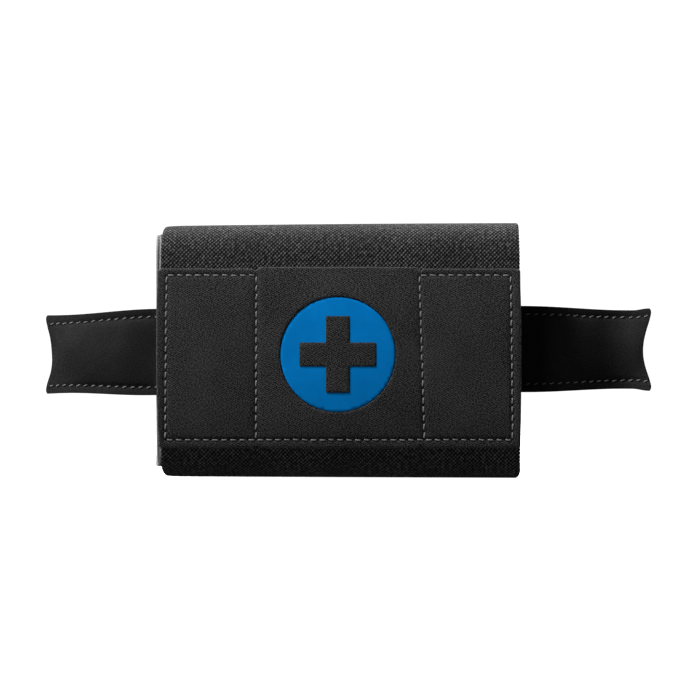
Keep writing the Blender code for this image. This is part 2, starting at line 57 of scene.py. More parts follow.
# The sleeve's profile in Y and Z, as in the CAD.
SLEEVE_HEIGHT = 105.6 * MM
SLEEVE_FRONT = -25.0 * MM
SLEEVE_BACK = 25.0 * MM
ELASTIC = 1.8 * MM
BULGE_RADIUS = 290 * MM
BULGE_Y = SLEEVE_FRONT + BULGE_RADIUS
FRONT_CORNER = 16 * MM
BACK_CORNER = 8 * MM
LIP = 12 * MM
SLEEVE_LEFT = -73.9 * MM
SLEEVE_RIGHT = 75.9 * MM

PANEL_LEFT = -75.7 * MM
PANEL_RIGHT = 76.4 * MM
PANEL_LOW = 11.7 * MM
PANEL_HIGH = 87.4 * MM
PANEL_THICK = 0.8 * MM
RIM = 0.35 * MM
SEAMS_TOP = (-71.4 * MM, -33.9 * MM, 34.1 * MM, 72.2 * MM)
SEAMS_FOOT = (-72.0 * MM, -34.1 * MM, 36.2 * MM, 73.0 * MM)
NOTCHES_LOW = (-33.2 * MM, 34.9 * MM)
SEAM_LOW = 15.3 * MM
SEAM_HIGH = 83.9 * MM
EMBLEM_Z = 50.9 * MM
EMBLEM_RADIUS = 24 * MM

STRAP_Y = -1.8 * MM
STRAP_Z = 51.7 * MM
STRAP_HALF = 18.2 * MM
TAB_HINGE_X = 77.3 * MM
TAB_FOLD = 2.4 * MM

# Each tab's side, crease, seams' places across it at root and tip, length past the hinge, curl, flick at
# the end, rise at the root, fall towards the tip, narrowing and end flare.
TABS = {
    "left": {
        "side": -1,
        "crease": 1.3 * MM,
        "seams": ((-0.81, -0.80), (0.82, 0.77)),
        "length": 49.1 * MM,
        "turn": 0.70,
        "flick": 0.0,
        "rise": 0.2 * MM,
        "drop": -1.2 * MM,
        "waist": 1.7 * MM,
        "flare": 0.1 * MM,
    },
    "right": {
        "side": 1,
        "crease": 0.5 * MM,
        "seams": ((-0.81, -0.77), (0.81, 0.82)),
        "length": 56.6 * MM,
        "turn": 0.75,
        "flick": -1.3,
        "rise": 1.45 * MM,
        "drop": -1.3 * MM,
        "waist": 1.6 * MM,
        "flare": 0.8 * MM,
    },
}

INSERT_LEAF = 1.0 * MM
INSERT_X = -1.7 * MM
INSERT_LEFT = -76.5 * MM
INSERT_RIGHT = 72.9 * MM
INSERT_WIDTH = 149.6 * MM

LOOP_X = 38 * MM
LOOP_HALF = 19 * MM
WEBBING_HALF = 1.1 * MM
SNAP_Z = 15 * MM

# Each kind of seam: its pitch, and its stitches' length and width.
PANEL_STITCH = (3.65 * MM, 2.85 * MM, 0.62 * MM)
BACK_STITCH = (3.6 * MM, 2.4 * MM, 0.55 * MM)
TAB_STITCH = (3.4 * MM, 2.05 * MM, 0.58 * MM)
LOOP_STITCH = (2.6 * MM, 1.8 * MM, 0.5 * MM)

STITCH_RINGS = 7
STITCH_SIDES = 6

# Turned profiles, as (radius, height) points in mm.
SNAP_CAP_TOP = 1.9
SNAPS = {
    "cap": (
        (0, SNAP_CAP_TOP), (2.0, 1.86), (3.6, 1.72), (4.9, 1.45), (5.9, 1.05), (6.1, 0.78),
        (6.3, 0.72), (6.9, 0.74), (7.25, 0.5), (7.3, 0.2), (7.1, 0.0), (0, 0.0),
    ),
    "socket": (
        (2.5, 0), (4.0, 0.0), (4.4, 0.25), (4.7, 0.85), (5.8, 0.95),
        (6.0, 1.2), (6.0, 1.6), (5.8, 1.75), (2.5, 1.75),
    ),
    "stud": (
        (0, 2.5), (1.2, 2.45), (1.9, 2.2), (2.1, 1.85), (2.0, 1.5), (1.7, 1.2),
        (1.7, 0.85), (4.2, 0.7), (5.4, 0.6), (5.8, 0.35), (5.8, 0), (0, 0),
    ),
}
MARKER_BARREL = ((4.3, 9.0), (4.4, 8.6), (4.4, 3.0), (4.0, 1.0), (3.2, 0.2), (0, 0))
MARKER_CAP = (
    (4.95, 6.0), (4.95, 2.2), (4.75, 2.0), (4.75, 1.5), (4.95, 1.3), (4.95, 0.2), (4.8, 0), (0, 0),
)

CLOTH = {
    "quality": 5,
    "mass": 0.01,
    "tension_stiffness": 5,
    "compression_stiffness": 5,
    "shear_stiffness": 2,
    "bending_stiffness": 0.02,
    "use_pressure": True,
    "uniform_pressure_force": 4.0,
}
CLOTH_FRAMES = 20
MOST_SWELL = 0.9 * MM

FLOOR_Z = -1.2 * MM
CAMERA_DISTANCE = 2.5
CAMERA_X = 5.1 * MM
CAMERA_Z = 52.75 * MM
SENSOR = 36
VIEW_WIDTH = 0.2919

# Each area light's place, width, height and power. All of them point at the middle of the sleeve.
LIGHTS = {
    "key": ((-0.95, -0.65, 1.5), 0.38, 0.38, 54),
    "front_fill": ((-1.3, -1.7, 0.12), 1.2, 1.2, 5.0),
    "top": ((0.0, 0.7, 1.1), 0.8, 0.8, 28),
    "rear": ((0.8, 1.5, 0.7), 1.2, 1.2, 16),
    "low_front": ((-1.2, -1.7, 0.06), 1.2, 0.1, 6.5),
    "left_end": ((-1.8, 0.4, 0.35), 0.8, 0.8, 8),
    "right_end": ((1.8, 0.5, 0.35), 0.8, 0.8, 8),
}

# ---------------------------------------------------------------- materials


class Graph:
    """A node material, built a step at a time round its Principled shader."""

    def __init__(self, name, roughness=0.7, metallic=0.0, specular=0.5, sheen=0.0):
        self.material = bpy.data.materials.new(name)
        self.material.use_nodes = True
        self.tree = self.material.node_tree
        self.shader = self.tree.nodes["Principled BSDF"]
        self.set(self.shader, "Roughness", roughness)
        self.set(self.shader, "Metallic", metallic)
        self.set(self.shader, "Specular IOR Level", specular)
        self.set(self.shader, "Sheen Weight", sheen)
        self.set(self.shader, "Sheen Roughness", 0.4)

    def set(self, node, key, value):
        if isinstance(value, bpy.types.NodeSocket):
            self.tree.links.new(value, node.inputs[key])
        else:
            node.inputs[key].default_value = value

    def add(self, kind, inputs, **settings):
        node = self.tree.nodes.new("ShaderNode" + kind)
        for key, value in settings.items():
            setattr(node, key, value)
        for key, value in inputs.items():
            self.set(node, key, value)
        return node

    def math(self, operation, *values, clamp=False):
        return self.add("Math", dict(enumerate(values)), operation=operation, use_clamp=clamp).outputs[0]

    def times(self, first, second, clamp=False):
        return self.math("MULTIPLY", first, second, clamp=clamp)

    def sum(self, first, *others):
        for other in others:
            first = self.math("ADD", first, other)
        return first

    def ramp(self, value, low, high, out_low=0.0, out_high=1.0):
        """The value's share of the way from low to high, spread smoothly over the output range."""
        inputs = {0: value, 1: low, 2: high, 3: out_low, 4: out_high}
        return self.add("MapRange", inputs, interpolation_type="SMOOTHSTEP").outputs[0]

    def mix(self, share, first, second):
        """The blend of two colours."""
        inputs = {0: share, 6: (*first, 1), 7: (*second, 1)}
        return self.add("Mix", inputs, data_type="RGBA").outputs[2]

    def greys(self, level, low, high, dark, light):
        """A grey that goes from dark to light as the level goes from low to high."""
        return self.mix(self.ramp(level, low, high), grey(dark), grey(light))

    def noise(self, vector, scale, detail=3.0, roughness=0.55):
        inputs = {"Vector": vector, "Scale": scale, "Detail": detail, "Roughness": roughness}
        return self.add("TexNoise", inputs).outputs[0]

    def swing(self, vector, scale, detail, width):
        """Noise about zero, that many units wide."""
        return self.times(self.math("SUBTRACT", self.noise(vector, scale, detail), 0.5), width)

    def threads(self, vector, fine=3200, along=1500):
        """Uneven threads that run both ways, from about -0.5 to 0.5."""
        both = []
        for stretch in ((fine, along, 1), (along, fine, 1)):
            drawn = self.add("VectorMath", {0: vector, 1: stretch}, operation="MULTIPLY").outputs[0]
            both.append(self.noise(drawn, 1.0, 1, 0.5))
        return self.math("SUBTRACT", self.sum(*both), 1.0)

    def surface(self):
        """The two lengths along a sheet, in metres, and the vector that holds them."""
        vector = self.add("UVMap", {}, uv_map="UVMap").outputs[0]
        parts = self.add("SeparateXYZ", {0: vector})
        return parts.outputs[0], parts.outputs[1], vector

    def place(self):
        """Where the point is on the object, in metres."""
        return self.add("TexCoord", {}).outputs["Object"]

    def wave(self, along, pitch, shift=0.0):
        """A cosine along one length, which peaks once a pitch."""
        return self.math("COSINE", self.sum(self.times(along, 2 * math.pi / pitch), shift))

    def bump(self, height, distance, strength):
        return self.add("Bump", {"Height": height, "Distance": distance, "Strength": strength}).outputs[0]

    def finish(self, colour, normal=None, roughness=None):
        for key, value in (("Base Color", colour), ("Normal", normal), ("Roughness", roughness)):
            if value is not None:
                self.set(self.shader, key, value)
        return self.material


def grey(level, warm=0.0):
    return (level * (1 + warm), level, level * (1 - warm))


def woven_elastic(name, dark, light, column=1.65 * MM, row=0.85 * MM):
    """Heavy elastic: rows of yarn beads, each row shifted by half a bead from the one above, with a painted
    highlight on each bead's top and painted shade between the beads.
    """
    g = Graph(name, roughness=0.85, specular=0.12, sheen=0.02)
    s, x, vector = g.surface()
    drift = g.swing(vector, 160, 2, 1.6)
    bead = g.times(g.wave(x, column, drift), g.wave(s, 2 * row, drift))
    height = g.sum(bead, g.swing(vector, 650, 2, 3.2))
    slow = g.ramp(g.noise(vector, 45), 0.3, 0.7, 0.75, 1.2)
    # The colour follows the bead relief: painted highlight on the bead tops and painted shade in the pits
    # between them, under a slow random change of tone.
    share = g.times(g.math("POWER", g.ramp(height, -1.0, 1.6), 2.2), slow, clamp=True)
    lift = g.sum(height, g.times(g.noise(vector, 4200, 2), 0.35))
    return g.finish(g.mix(share, grey(dark), grey(light)), g.bump(lift, 0.30 * MM, 0.9))


def fine_weave(name, dark, light, column=1.62 * MM, row=0.92 * MM, roughness=0.72, grain=0.5):
    """Laminated nylon: a plain weave that just shows, with an uneven grain over it."""
    g = Graph(name, roughness=roughness, specular=0.12, sheen=0.01)
    s, x, vector = g.surface()
    wobble = g.times(g.noise(vector, 260, 2), 2.4)
    weave = g.times(g.wave(x, column, wobble), g.wave(s, row, wobble))
    speck = g.times(g.threads(vector), 9 * grain)
    level = g.sum(g.times(weave, 1.5 * grain), speck, g.swing(vector, 45, 3, 0.9))
    lift = g.sum(g.times(weave, 0.5), speck)
    dull = g.ramp(level, -0.8, 0.8, roughness + 0.08, roughness - 0.08)
    return g.finish(g.greys(level, -0.48, 0.52, dark, light), g.bump(lift, 0.09 * MM, 0.7), dull)


def webbing(name, dark, light, pitch=1.9 * MM):
    """Nylon webbing: slanting ribs that turn back at each cord of the weave."""
    g = Graph(name, roughness=0.62, specular=0.4, sheen=0.06)
    s, x, vector = g.surface()
    zigzag = g.math("PINGPONG", x, pitch)
    slant = g.wave(g.sum(s, g.times(zigzag, 0.8)), 1.1 * MM)
    fibre = g.times(g.noise(vector, 1500, 2), 0.7)
    level = g.sum(g.times(slant, 0.6), g.times(g.wave(x, pitch), 0.5), fibre)
    return g.finish(g.greys(level, -0.6, 1.4, dark, light), g.bump(level, 0.16 * MM, 0.8))


def thread(name, dark, light):
    """Bonded thread, twisted along its length."""
    g = Graph(name, roughness=0.6, specular=0.35)
    s, x, vector = g.surface()
    twist = g.wave(g.sum(s, x), 0.45 * MM)
    level = g.sum(twist, g.noise(vector, 2500, 2))
    return g.finish(g.greys(level, -0.6, 1.6, dark, light), g.bump(twist, 0.05 * MM, 0.6))


def blackened_metal(name):
    g = Graph(name, metallic=1.0)
    place = g.place()
    rub = g.noise(place, 700, 4)
    colour = g.mix(g.ramp(rub, 0.45, 0.8), grey(0.035), grey(0.16, 0.03))
    dull = g.ramp(rub, 0.3, 0.8, 0.42, 0.28)
    return g.finish(colour, g.bump(g.noise(place, 2600, 2), 0.02 * MM, 0.5), dull)


def moulded(name, dark, light, roughness=0.45, tint=(1, 1, 1)):
    """Moulded plastic with a spark-eroded texture."""
    g = Graph(name, roughness=roughness, specular=0.45)
    place = g.place()
    grain = g.noise(place, 2400)
    patch = g.noise(place, 70)
    first, second = (tuple(c * k for c in tint) for k in (dark, light))
    colour = g.mix(g.ramp(g.sum(grain, patch), 0.7, 1.3), first, second)
    dull = g.ramp(patch, 0.3, 0.7, roughness - 0.06, roughness + 0.08)
    return g.finish(colour, g.bump(grain, 0.05 * MM, 0.6), dull)


def packed_film(name, first, second, metallic=0.0, roughness=0.28):
    """Heat-sealed film drawn tight over what is in it, with fine creases."""
    g = Graph(name, roughness=roughness, metallic=metallic, specular=0.5)
    crease = g.noise(g.place(), 130, 5, 0.65)
    ridge = g.math("ABSOLUTE", g.math("SUBTRACT", crease, 0.5))
    dull = g.ramp(ridge, 0.0, 0.2, roughness + 0.12, roughness)
    return g.finish(g.mix(g.ramp(ridge, 0.0, 0.16), second, first), g.bump(ridge, 1.2 * MM, 0.7), dull)


def napped(name, dark, light):
    """Loop fabric: short matted pile."""
    g = Graph(name, roughness=0.95, specular=0.15, sheen=0.2)
    tuft = g.noise(g.surface()[2], 1500, 4, 0.7)
    return g.finish(g.greys(tuft, 0.35, 0.7, dark, light), g.bump(tuft, 0.4 * MM, 0.9))


def plain(name, level, roughness=0.9):
    g = Graph(name, roughness=roughness, specular=0.1)
    shade = g.noise(g.place(), 1800, 2)
    return g.finish(g.mix(shade, grey(level * 0.7), grey(level * 1.3)))


def emblem_film(name):
    """Smooth printed laminate, with the weave under it just showing."""
    g = Graph(name, roughness=0.8, specular=0.02)
    s, x, vector = g.surface()
    weave = g.times(g.wave(x, 0.62 * MM), g.wave(s, 0.62 * MM))
    level = g.sum(g.noise(vector, 60), g.times(weave, 0.08))
    colour = g.mix(g.ramp(level, 0.3, 0.7), (0.0004, 0.150, 0.440), (0.0006, 0.172, 0.500))
    return g.finish(colour, g.bump(weave, 0.03 * MM, 0.5))


def make_materials():
    fine = 0.45 * MM
    return {
        "elastic": woven_elastic("sleeve_weave", 0.006, 0.138),
        "pocket": woven_elastic("pocket_weave", 0.003, 0.05, column=1.1 * MM, row=0.6 * MM),
        "laminate": fine_weave("laminate_weave", 0.0005, 0.049),
        "tape": fine_weave("tape_weave", 0.003, 0.0165, column=fine, row=fine, roughness=0.6, grain=0.2),
        "insert": fine_weave("insert_weave", 0.02, 0.06),
        "binding": fine_weave("edge_binding", 0.13, 0.26, grain=0.3),
        "webbing": webbing("belt_webbing", 0.004, 0.03),
        "thread": thread("grey_thread", 0.06, 0.29),
        "tab_thread": thread("dark_thread", 0.06, 0.24),
        # A lighter grey for cut edges: partly their own colour, partly a painted highlight along the eased
        # edge.
        "cut_edge_and_highlight": fine_weave("cut_laminate_and_highlight", 0.03, 0.09),
        # Near-black needle-hole discs: painted shade where the thread dives into the sheet.
        "hole": plain("needle_hole_shade", 0.002),
        "metal": blackened_metal("blackened_snap"),
        "plastic": moulded("black_nylon", 0.010, 0.026),
        "marker": moulded("marker_plastic", 0.012, 0.03, roughness=0.35),
        "strap": napped("loop_strap", 0.004, 0.03),
        "tag": fine_weave("white_tag", 0.5, 0.72, grain=0.3),
        "gauze": packed_film("gauze_film", (0.10, 0.13, 0.055), (0.30, 0.33, 0.22)),
        "dressing": packed_film("dressing_film", (0.36, 0.27, 0.15), (0.62, 0.55, 0.42)),
        "foil": packed_film("foil_film", (0.55, 0.56, 0.57), (0.80, 0.81, 0.82), metallic=0.85),
        "glove": moulded("glove_nitrile", 0.8, 1.2, roughness=0.55, tint=(0.03, 0.12, 0.33)),
        "blue": emblem_film("emblem_blue_film"),
    }


# ---------------------------------------------------------------- mesh tools


def new_piece(name, points, faces, material, lengths=None, sharp=40, edge_material=None, edge_faces=()):
    """A mesh object. lengths are each point's two lengths along its sheet."""
    mesh = bpy.data.meshes.new(name)
    mesh.from_pydata([tuple(p) for p in points], [], faces)
    if lengths is not None:
        layer = mesh.uv_layers.new(name="UVMap")
        corners = np.empty(len(mesh.loops), np.int32)
        mesh.loops.foreach_get("vertex_index", corners)
        layer.data.foreach_set("uv", np.asarray(lengths, np.float32)[corners].ravel())
    mesh.materials.append(material)
    if edge_material:
        mesh.materials.append(edge_material)
        for face in edge_faces:
            mesh.polygons[face].material_index = 1
    mesh.shade_smooth()
    mesh.set_sharp_from_angle(angle=math.radians(sharp))
    obj = bpy.data.objects.new(name, mesh)
    bpy.context.scene.collection.objects.link(obj)
    return obj


def attach(obj, body, slot, *nodes):
    """Puts a piece on a body; a piece given a bend, (body, body, start, end), only has its place baked into
    its mesh. It stands for the nodes.
    """
    if isinstance(body, str):
        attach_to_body(obj, body)
    else:
        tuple(body[2])
        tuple(body[3])
        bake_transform(obj)
    if nodes:
        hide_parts(*nodes)


def grid_lines(low, high, step, near):
    """Lines about a step apart, with extra ones at the given distances in from both ends."""
    count = max(1, round((high - low) / step))
    lines = list(np.linspace(low, high, count + 1))
    extra = [low + d for d in near] + [high - d for d in near]
    gap = min(near) / 2
    kept = [v for v in lines if all(abs(v - e) > gap for e in extra) or v in (lines[0], lines[-1])]
    return np.array(sorted(kept + extra))


def soft_edge(lines, reach):
    """How much of a sheet's thickness is left at each line, thinning over the last stretch to both ends."""
    edge = np.minimum(lines - lines[0], lines[-1] - lines)
    t = np.clip(edge / reach, 0, 1)
    return 0.3 + 0.7 * np.sqrt(1 - (1 - t) ** 2)


def soft_edges(u, v, reach_u, reach_v):
    return np.outer(soft_edge(u, reach_u), soft_edge(v, reach_v))


def over(rows, columns, place):
    """A grid of what place gives for each row and column."""
    return np.array([[place(row, column) for column in columns] for row in rows])


def shell_faces(nu, nv):
    """The faces of a closed sheet of two layers, each a grid of points."""
    total = nu * nv
    faces = []
    for i in range(nu - 1):
        for j in range(nv - 1):
            a, b = i * nv + j, (i + 1) * nv + j
            faces.append((a, b, b + 1, a + 1))
            faces.append((total + a, total + a + 1, total + b + 1, total + b))
    for i in range(nu - 1):
        a, b = i * nv, (i + 1) * nv
        faces.append((b, a, total + a, total + b))
        a, b = a + nv - 1, b + nv - 1
        faces.append((a, b, total + b, total + a))
    for j in range(nv - 1):
        faces.append((j, j + 1, total + j + 1, total + j))
        a = (nu - 1) * nv + j
        faces.append((a + 1, a, total + a, total + a + 1))
    return faces


def sheet_lengths(u, v):
    """Each point's two lengths along a closed sheet, for both of its layers."""
    one = np.stack(np.meshgrid(u, v, indexing="ij"), axis=2).reshape(-1, 2)
    return np.concatenate([one, one])


def sheet_piece(name, u, v, middle, half, material, sharp=60, **edges):
    """A closed sheet round a grid of middle points, with half its thickness at each."""
    across = np.cross(np.gradient(middle, axis=0), np.gradient(middle, axis=1))
    normal = across / np.maximum(np.linalg.norm(across, axis=2, keepdims=True), 1e-12)
    offset = normal * half[..., None]
    points = np.concatenate([(middle + offset).reshape(-1, 3), (middle - offset).reshape(-1, 3)])
    faces = shell_faces(len(u), len(v))
    return new_piece(name, points, faces, material, sheet_lengths(u, v), sharp, **edges)


def arc(centre, radius, start, end, steps=24):
    angles = np.radians(np.linspace(start, end, steps + 1))
    return np.stack([centre[0] + radius * np.cos(angles), centre[1] + radius * np.sin(angles)], axis=1)


def distances(path):
    """How far along a path each of its points is."""
    steps = np.linalg.norm(np.diff(np.asarray(path), axis=0), axis=1)
    return np.concatenate([[0], np.cumsum(steps)])


def path_length(path):
    return float(distances(path)[-1])


def resample(path, lengths):
    """Points on a path at those distances along it."""
    path = np.asarray(path)
    path = path[np.append(True, np.diff(distances(path)) > 1e-9)]
    along = distances(path)
    return np.stack([np.interp(lengths, along, values) for values in path.T], axis=1)


def ease(t):
    t = np.clip(t, 0, 1)
    return (1 - np.cos(np.pi * t)) / 2


def rough(x, y, z=0.0, scale=60.0):
    """Smooth noise from -1 to 1 at a place given in metres."""
    return noise.noise(Vector((x * scale, y * scale, z * scale)))


def turned(name, profile, origin, along, material, steps=48):
    """A closed ring or solid: (radius, height) points in mm, turned about an axis along X or Y."""
    count = len(profile)
    points, faces = [], []
    for k in range(steps):
        turn = 2 * math.pi * k / steps
        for radius, height in profile:
            p, q = radius * math.cos(turn), radius * math.sin(turn)
            offset = (height, p, q) if along == "X" else (q, height, p)
            points.append([o + d * MM for o, d in zip(origin, offset)])
        a, b = k * count, ((k + 1) % steps) * count
        for i in range(count):
            j = (i + 1) % count
            faces.append((a + i, b + i, b + j, a + j))
    obj = new_piece(name, points, faces, material)
    weld(obj)
    return obj


def weld(obj, distance=1e-6):
    """Joins points that meet, such as those on a turned piece's axis, and turns every face outwards."""
    bm = bmesh.new()
    bm.from_mesh(obj.data)
    bmesh.ops.remove_doubles(bm, verts=bm.verts, dist=distance)
    bmesh.ops.dissolve_degenerate(bm, edges=bm.edges, dist=distance)
    bmesh.ops.recalc_face_normals(bm, faces=bm.faces)
    bm.to_mesh(obj.data)
    bm.free()


def soften(obj, width, angle):
    """A fine rounding of a piece's sharp edges."""
    bevel = obj.modifiers.new("soft edges", "BEVEL")
    bevel.width = width
    bevel.segments = 2
    bevel.limit_method = "ANGLE"
    bevel.angle_limit = math.radians(angle)


# ---------------------------------------------------------------- stitches


def stitch_thread(place, along, normal, side, half, width, lean):
    """One stitch's rings of points, from where it rises out of the sheet to where it dives back in."""
    for t in np.linspace(-1, 1, STITCH_RINGS):
        lift = width * 0.55 * (1 - t**4) - 0.25 * MM * t**8
        centre = place + along * half * t + side * (lean * half * t) + normal * lift
        radius = width / 2 * (1 - 0.35 * t**6)
        for k in range(STITCH_SIDES):
            a = 2 * math.pi * k / STITCH_SIDES
            out = side * math.cos(a) + normal * 0.75 * math.sin(a)
            yield centre + out * radius, (half * t, radius * a)


def thread_faces(first):
    """The faces of one stitch whose points start at that number."""
    rings, sides = STITCH_RINGS, STITCH_SIDES
    faces = []
    for i in range(rings - 1):
        for k in range(sides):
            a, b = first + i * sides + k, first + i * sides + (k + 1) % sides
            faces.append((a, a + sides, b + sides, b))
    faces.append(tuple(first + k for k in range(sides)))
    faces.append(tuple(first + (rings - 1) * sides + k for k in reversed(range(sides))))
    return faces


def stitched(name, rows, body, slot, mats, stitch, thread_name="thread", slant=0.0):
    """The thread of rows of (place, along, normal) stitches, and at each needle hole that it runs through a
    near-black disc of painted shade.
    """
    _, size, width = stitch
    threads, faces, lengths = [], [], []
    holes, hole_shade_faces = [], []
    for row in rows:
        for index, (place, along, normal) in enumerate(row):
            along, normal = along.normalized(), normal.normalized()
            side = along.cross(normal)
            lean = slant + 0.12 * rough(place.x, place.y, place.z, 900.0)
            half = size / 2 * (1 + 0.10 * rough(place.z, place.x, place.y, 1300.0))
            faces += thread_faces(len(threads))
            for point, (s, x) in stitch_thread(place, along, normal, side, half, width, lean):
                threads.append(point)
                lengths.append((index * size + s, x))
            # At each end a flat near-black disc, about twice the thread's width across, lies on the sheet:
            # painted shade for the hole and the furrow round it.
            for end in (-1, 1):
                centre = place + along * half * 1.08 * end + side * (lean * half * end)
                first = len(holes)
                for k in range(8):
                    a = 2 * math.pi * k / 8
                    out = along * math.cos(a) * width * 1.15 + side * math.sin(a) * width * 0.85
                    holes.append(centre + out)
                    hole_shade_faces.append((first + k, first + (k + 1) % 8, first + 8))
                    hole_shade_faces.append((first + (k + 1) % 8, first + k, first + 9))
                holes += [centre + normal * 0.05 * MM, centre - normal * 0.3 * MM]
    attach(new_piece(name + "_thread", threads, faces, mats[thread_name], lengths, sharp=60), body, slot)
    # The _holes piece holds the discs of painted shade.
    attach(new_piece(name + "_holes", holes, hole_shade_faces, mats["hole"], sharp=60), body, slot)


def seam(surface, start, end, pitch, stray=0.0):
    """Stitches a pitch apart from one (a, b) place to another on a surface that maps them to a point."""
    run = math.dist(start, end)
    count = max(1, round(run / pitch))
    step = 0.2 * MM
    da, db = ((last - first) / run for first, last in zip(start, end))
    row = []
    for i in range(count):
        share = (i + 0.5) / count
        a, b = (first + (last - first) * share for first, last in zip(start, end))
        off = stray * rough(a, b, 6.0, 230)
        a, b = a - db * off, b + da * off
        place = Vector(surface(a, b))
        along = Vector(surface(a + da * step, b + db * step)) - place
        side = Vector(surface(a - db * step, b + da * step)) - place
        row.append((place, along, along.cross(side)))
    return row


def seam_behind(start, end, y, pitch):
    """Stitches on a face that looks backwards, between two (x, z) places."""
    row = seam(lambda x, z: (x, y, z), start, end, pitch)
    return [(place, along, Vector((0, 1, 0))) for place, along, _ in row]


# ---------------------------------------------------------------- the sleeve


def front_y(z):
    """The domed front's outer face."""
    return BULGE_Y - math.sqrt(BULGE_RADIUS**2 - (z - SLEEVE_HEIGHT / 2) ** 2)


def front_corner():
    """Where the front's upper corner has its centre in Y, and the angle at which the dome meets it."""
    rise = SLEEVE_HEIGHT / 2 - FRONT_CORNER
    reach = BULGE_RADIUS - FRONT_CORNER
    return BULGE_Y - math.sqrt(reach**2 - rise**2), 180 - math.degrees(math.asin(rise / reach))


def sleeve_profile(inset_by):
    """The elastic's line in Y and Z at that depth, from the upper lip round the front to the lower lip."""
    corner_y, turn = front_corner()
    back_y, back_z = SLEEVE_BACK - BACK_CORNER, SLEEVE_HEIGHT - BACK_CORNER
    back, front = BACK_CORNER - inset_by, FRONT_CORNER - inset_by
    return np.concatenate(
        [
            [(SLEEVE_BACK - inset_by, back_z - LIP)],
            arc((back_y, back_z), back, 0, 90),
            arc((corner_y, SLEEVE_HEIGHT - FRONT_CORNER), front, 90, turn),
            arc((BULGE_Y, SLEEVE_HEIGHT / 2), BULGE_RADIUS - inset_by, turn, 360 - turn, 60),
            arc((corner_y, FRONT_CORNER), front, 360 - turn, 270),
            arc((back_y, BACK_CORNER), back, 270, 360),
            [(SLEEVE_BACK - inset_by, BACK_CORNER + LIP)],
        ]
    )


def corner_pull(z, side):
    """How far the elastic's cut end draws in near the top and bottom folds."""
    top_reach = (3.2 if side < 0 else 1.8) * MM
    low_reach = (4.6 if side < 0 else 3.2) * MM
    corner = 0.0
    for past, reach in ((z - (SLEEVE_HEIGHT - top_reach), top_reach), (low_reach - z, low_reach)):
        share = max(0.0, past / reach)
        corner = max(corner, (1 - math.sqrt(max(0.0, 1 - share**2))) * reach)
    taper = (0.8 if side < 0 else 0.3) * MM * max(0.0, (z - 86 * MM) / (20 * MM)) ** 2
    return 0.9 * corner + taper - (0.4 * MM * (1 - z / SLEEVE_HEIGHT) if side > 0 else 0.0)


def sleeve_stretch(x, z):
    """How far the elastic stands above or below the CAD: it is a little taller towards the right."""
    share = z / (SLEEVE_HEIGHT / 2) - 1
    droop = 0.6 * MM * np.clip((-x - 66 * MM) / (8 * MM), 0, 1) ** 2
    up = 0.10 * MM + 0.65 * MM * x / SLEEVE_RIGHT - 0.25 * MM * (x / SLEEVE_RIGHT) ** 2 - droop
    down = 0.70 * MM + 0.30 * MM * x / SLEEVE_RIGHT - droop
    return np.where(share > 0, up, down) * share


def make_sleeve(mats):
    path = sleeve_profile(ELASTIC / 2)
    u = grid_lines(0, path_length(path), 0.5 * MM, near=(0.25 * MM, 0.8 * MM))
    v = grid_lines(-1, 1, 0.045, near=(0.002, 0.006, 0.012, 0.022))
    yarn = 0.13 * MM * np.sin(2 * np.pi * u / (1.6 * MM)) + 0.05 * MM * np.sin(2 * np.pi * u / (0.93 * MM))
    middle = np.zeros((len(u), len(v), 3))
    for row, loose, (y, z) in zip(middle, yarn, resample(path, u)):
        left = SLEEVE_LEFT + corner_pull(z, -1) + loose + 0.25 * MM * rough(y, z, 1.0, 90)
        right = SLEEVE_RIGHT - corner_pull(z, 1) - loose + 0.25 * MM * rough(y, z, 2.0, 90)
        x = left + (right - left) * (v + 1) / 2
        ripple = np.array([rough(a, y, z, 28) for a in x]) * 0.18 * MM
        row[:, 0] = x
        row[:, 1] = y - ripple * (y < SLEEVE_BACK - 2 * MM)
        row[:, 2] = z + sleeve_stretch(x, z)
    half = ELASTIC / 2 * soft_edges(u, v, 0.8 * MM, 0.012)
    across = (v + 1) / 2 * (SLEEVE_RIGHT - SLEEVE_LEFT)
    obj = sheet_piece("elastic_sleeve", u, across, middle, half, mats["elastic"], sharp=70)
    attach(obj, "sleeve", "woven_elastic", "sleeve_elastic")


def make_back_panel(mats):
    low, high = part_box("sleeve_back_panel")
    near = (0.3 * MM, 0.9 * MM)
    u = grid_lines(low.z, high.z, 2.5 * MM, near)
    v = grid_lines(low.x, high.x, 2.5 * MM, near)
    depth = (low.y + high.y) / 2
    middle = over(u, v, lambda z, x: (x, depth + 0.15 * MM * rough(x, z, 3.0, 25), z))
    half = (high.y - low.y) / 2 * soft_edges(u, v, 0.7 * MM, 0.7 * MM)
    obj = sheet_piece("back_panel_laminate", u, v, middle, half, mats["laminate"], sharp=40)
    attach(obj, "sleeve", "laminate", "sleeve_back_panel")

    fold = SLEEVE_HEIGHT - BACK_CORNER
    heights = (fold - LIP + 2.5 * MM, fold - 2 * MM, BACK_CORNER + LIP - 2.5 * MM)
    rows = [seam_behind((-71 * MM, z), (72 * MM, z), SLEEVE_BACK, BACK_STITCH[0]) for z in heights]
    stitched("back_seam", rows, "sleeve", "webbing", mats, BACK_STITCH)


# ---------------------------------------------------------------- the front panel


def seam_x(index, z):
    """Where an upright seam crosses a height: none of them is quite square to the panel."""
    share = (z - SEAM_LOW) / (SEAM_HIGH - SEAM_LOW)
    return SEAMS_FOOT[index] + (SEAMS_TOP[index] - SEAMS_FOOT[index]) * share


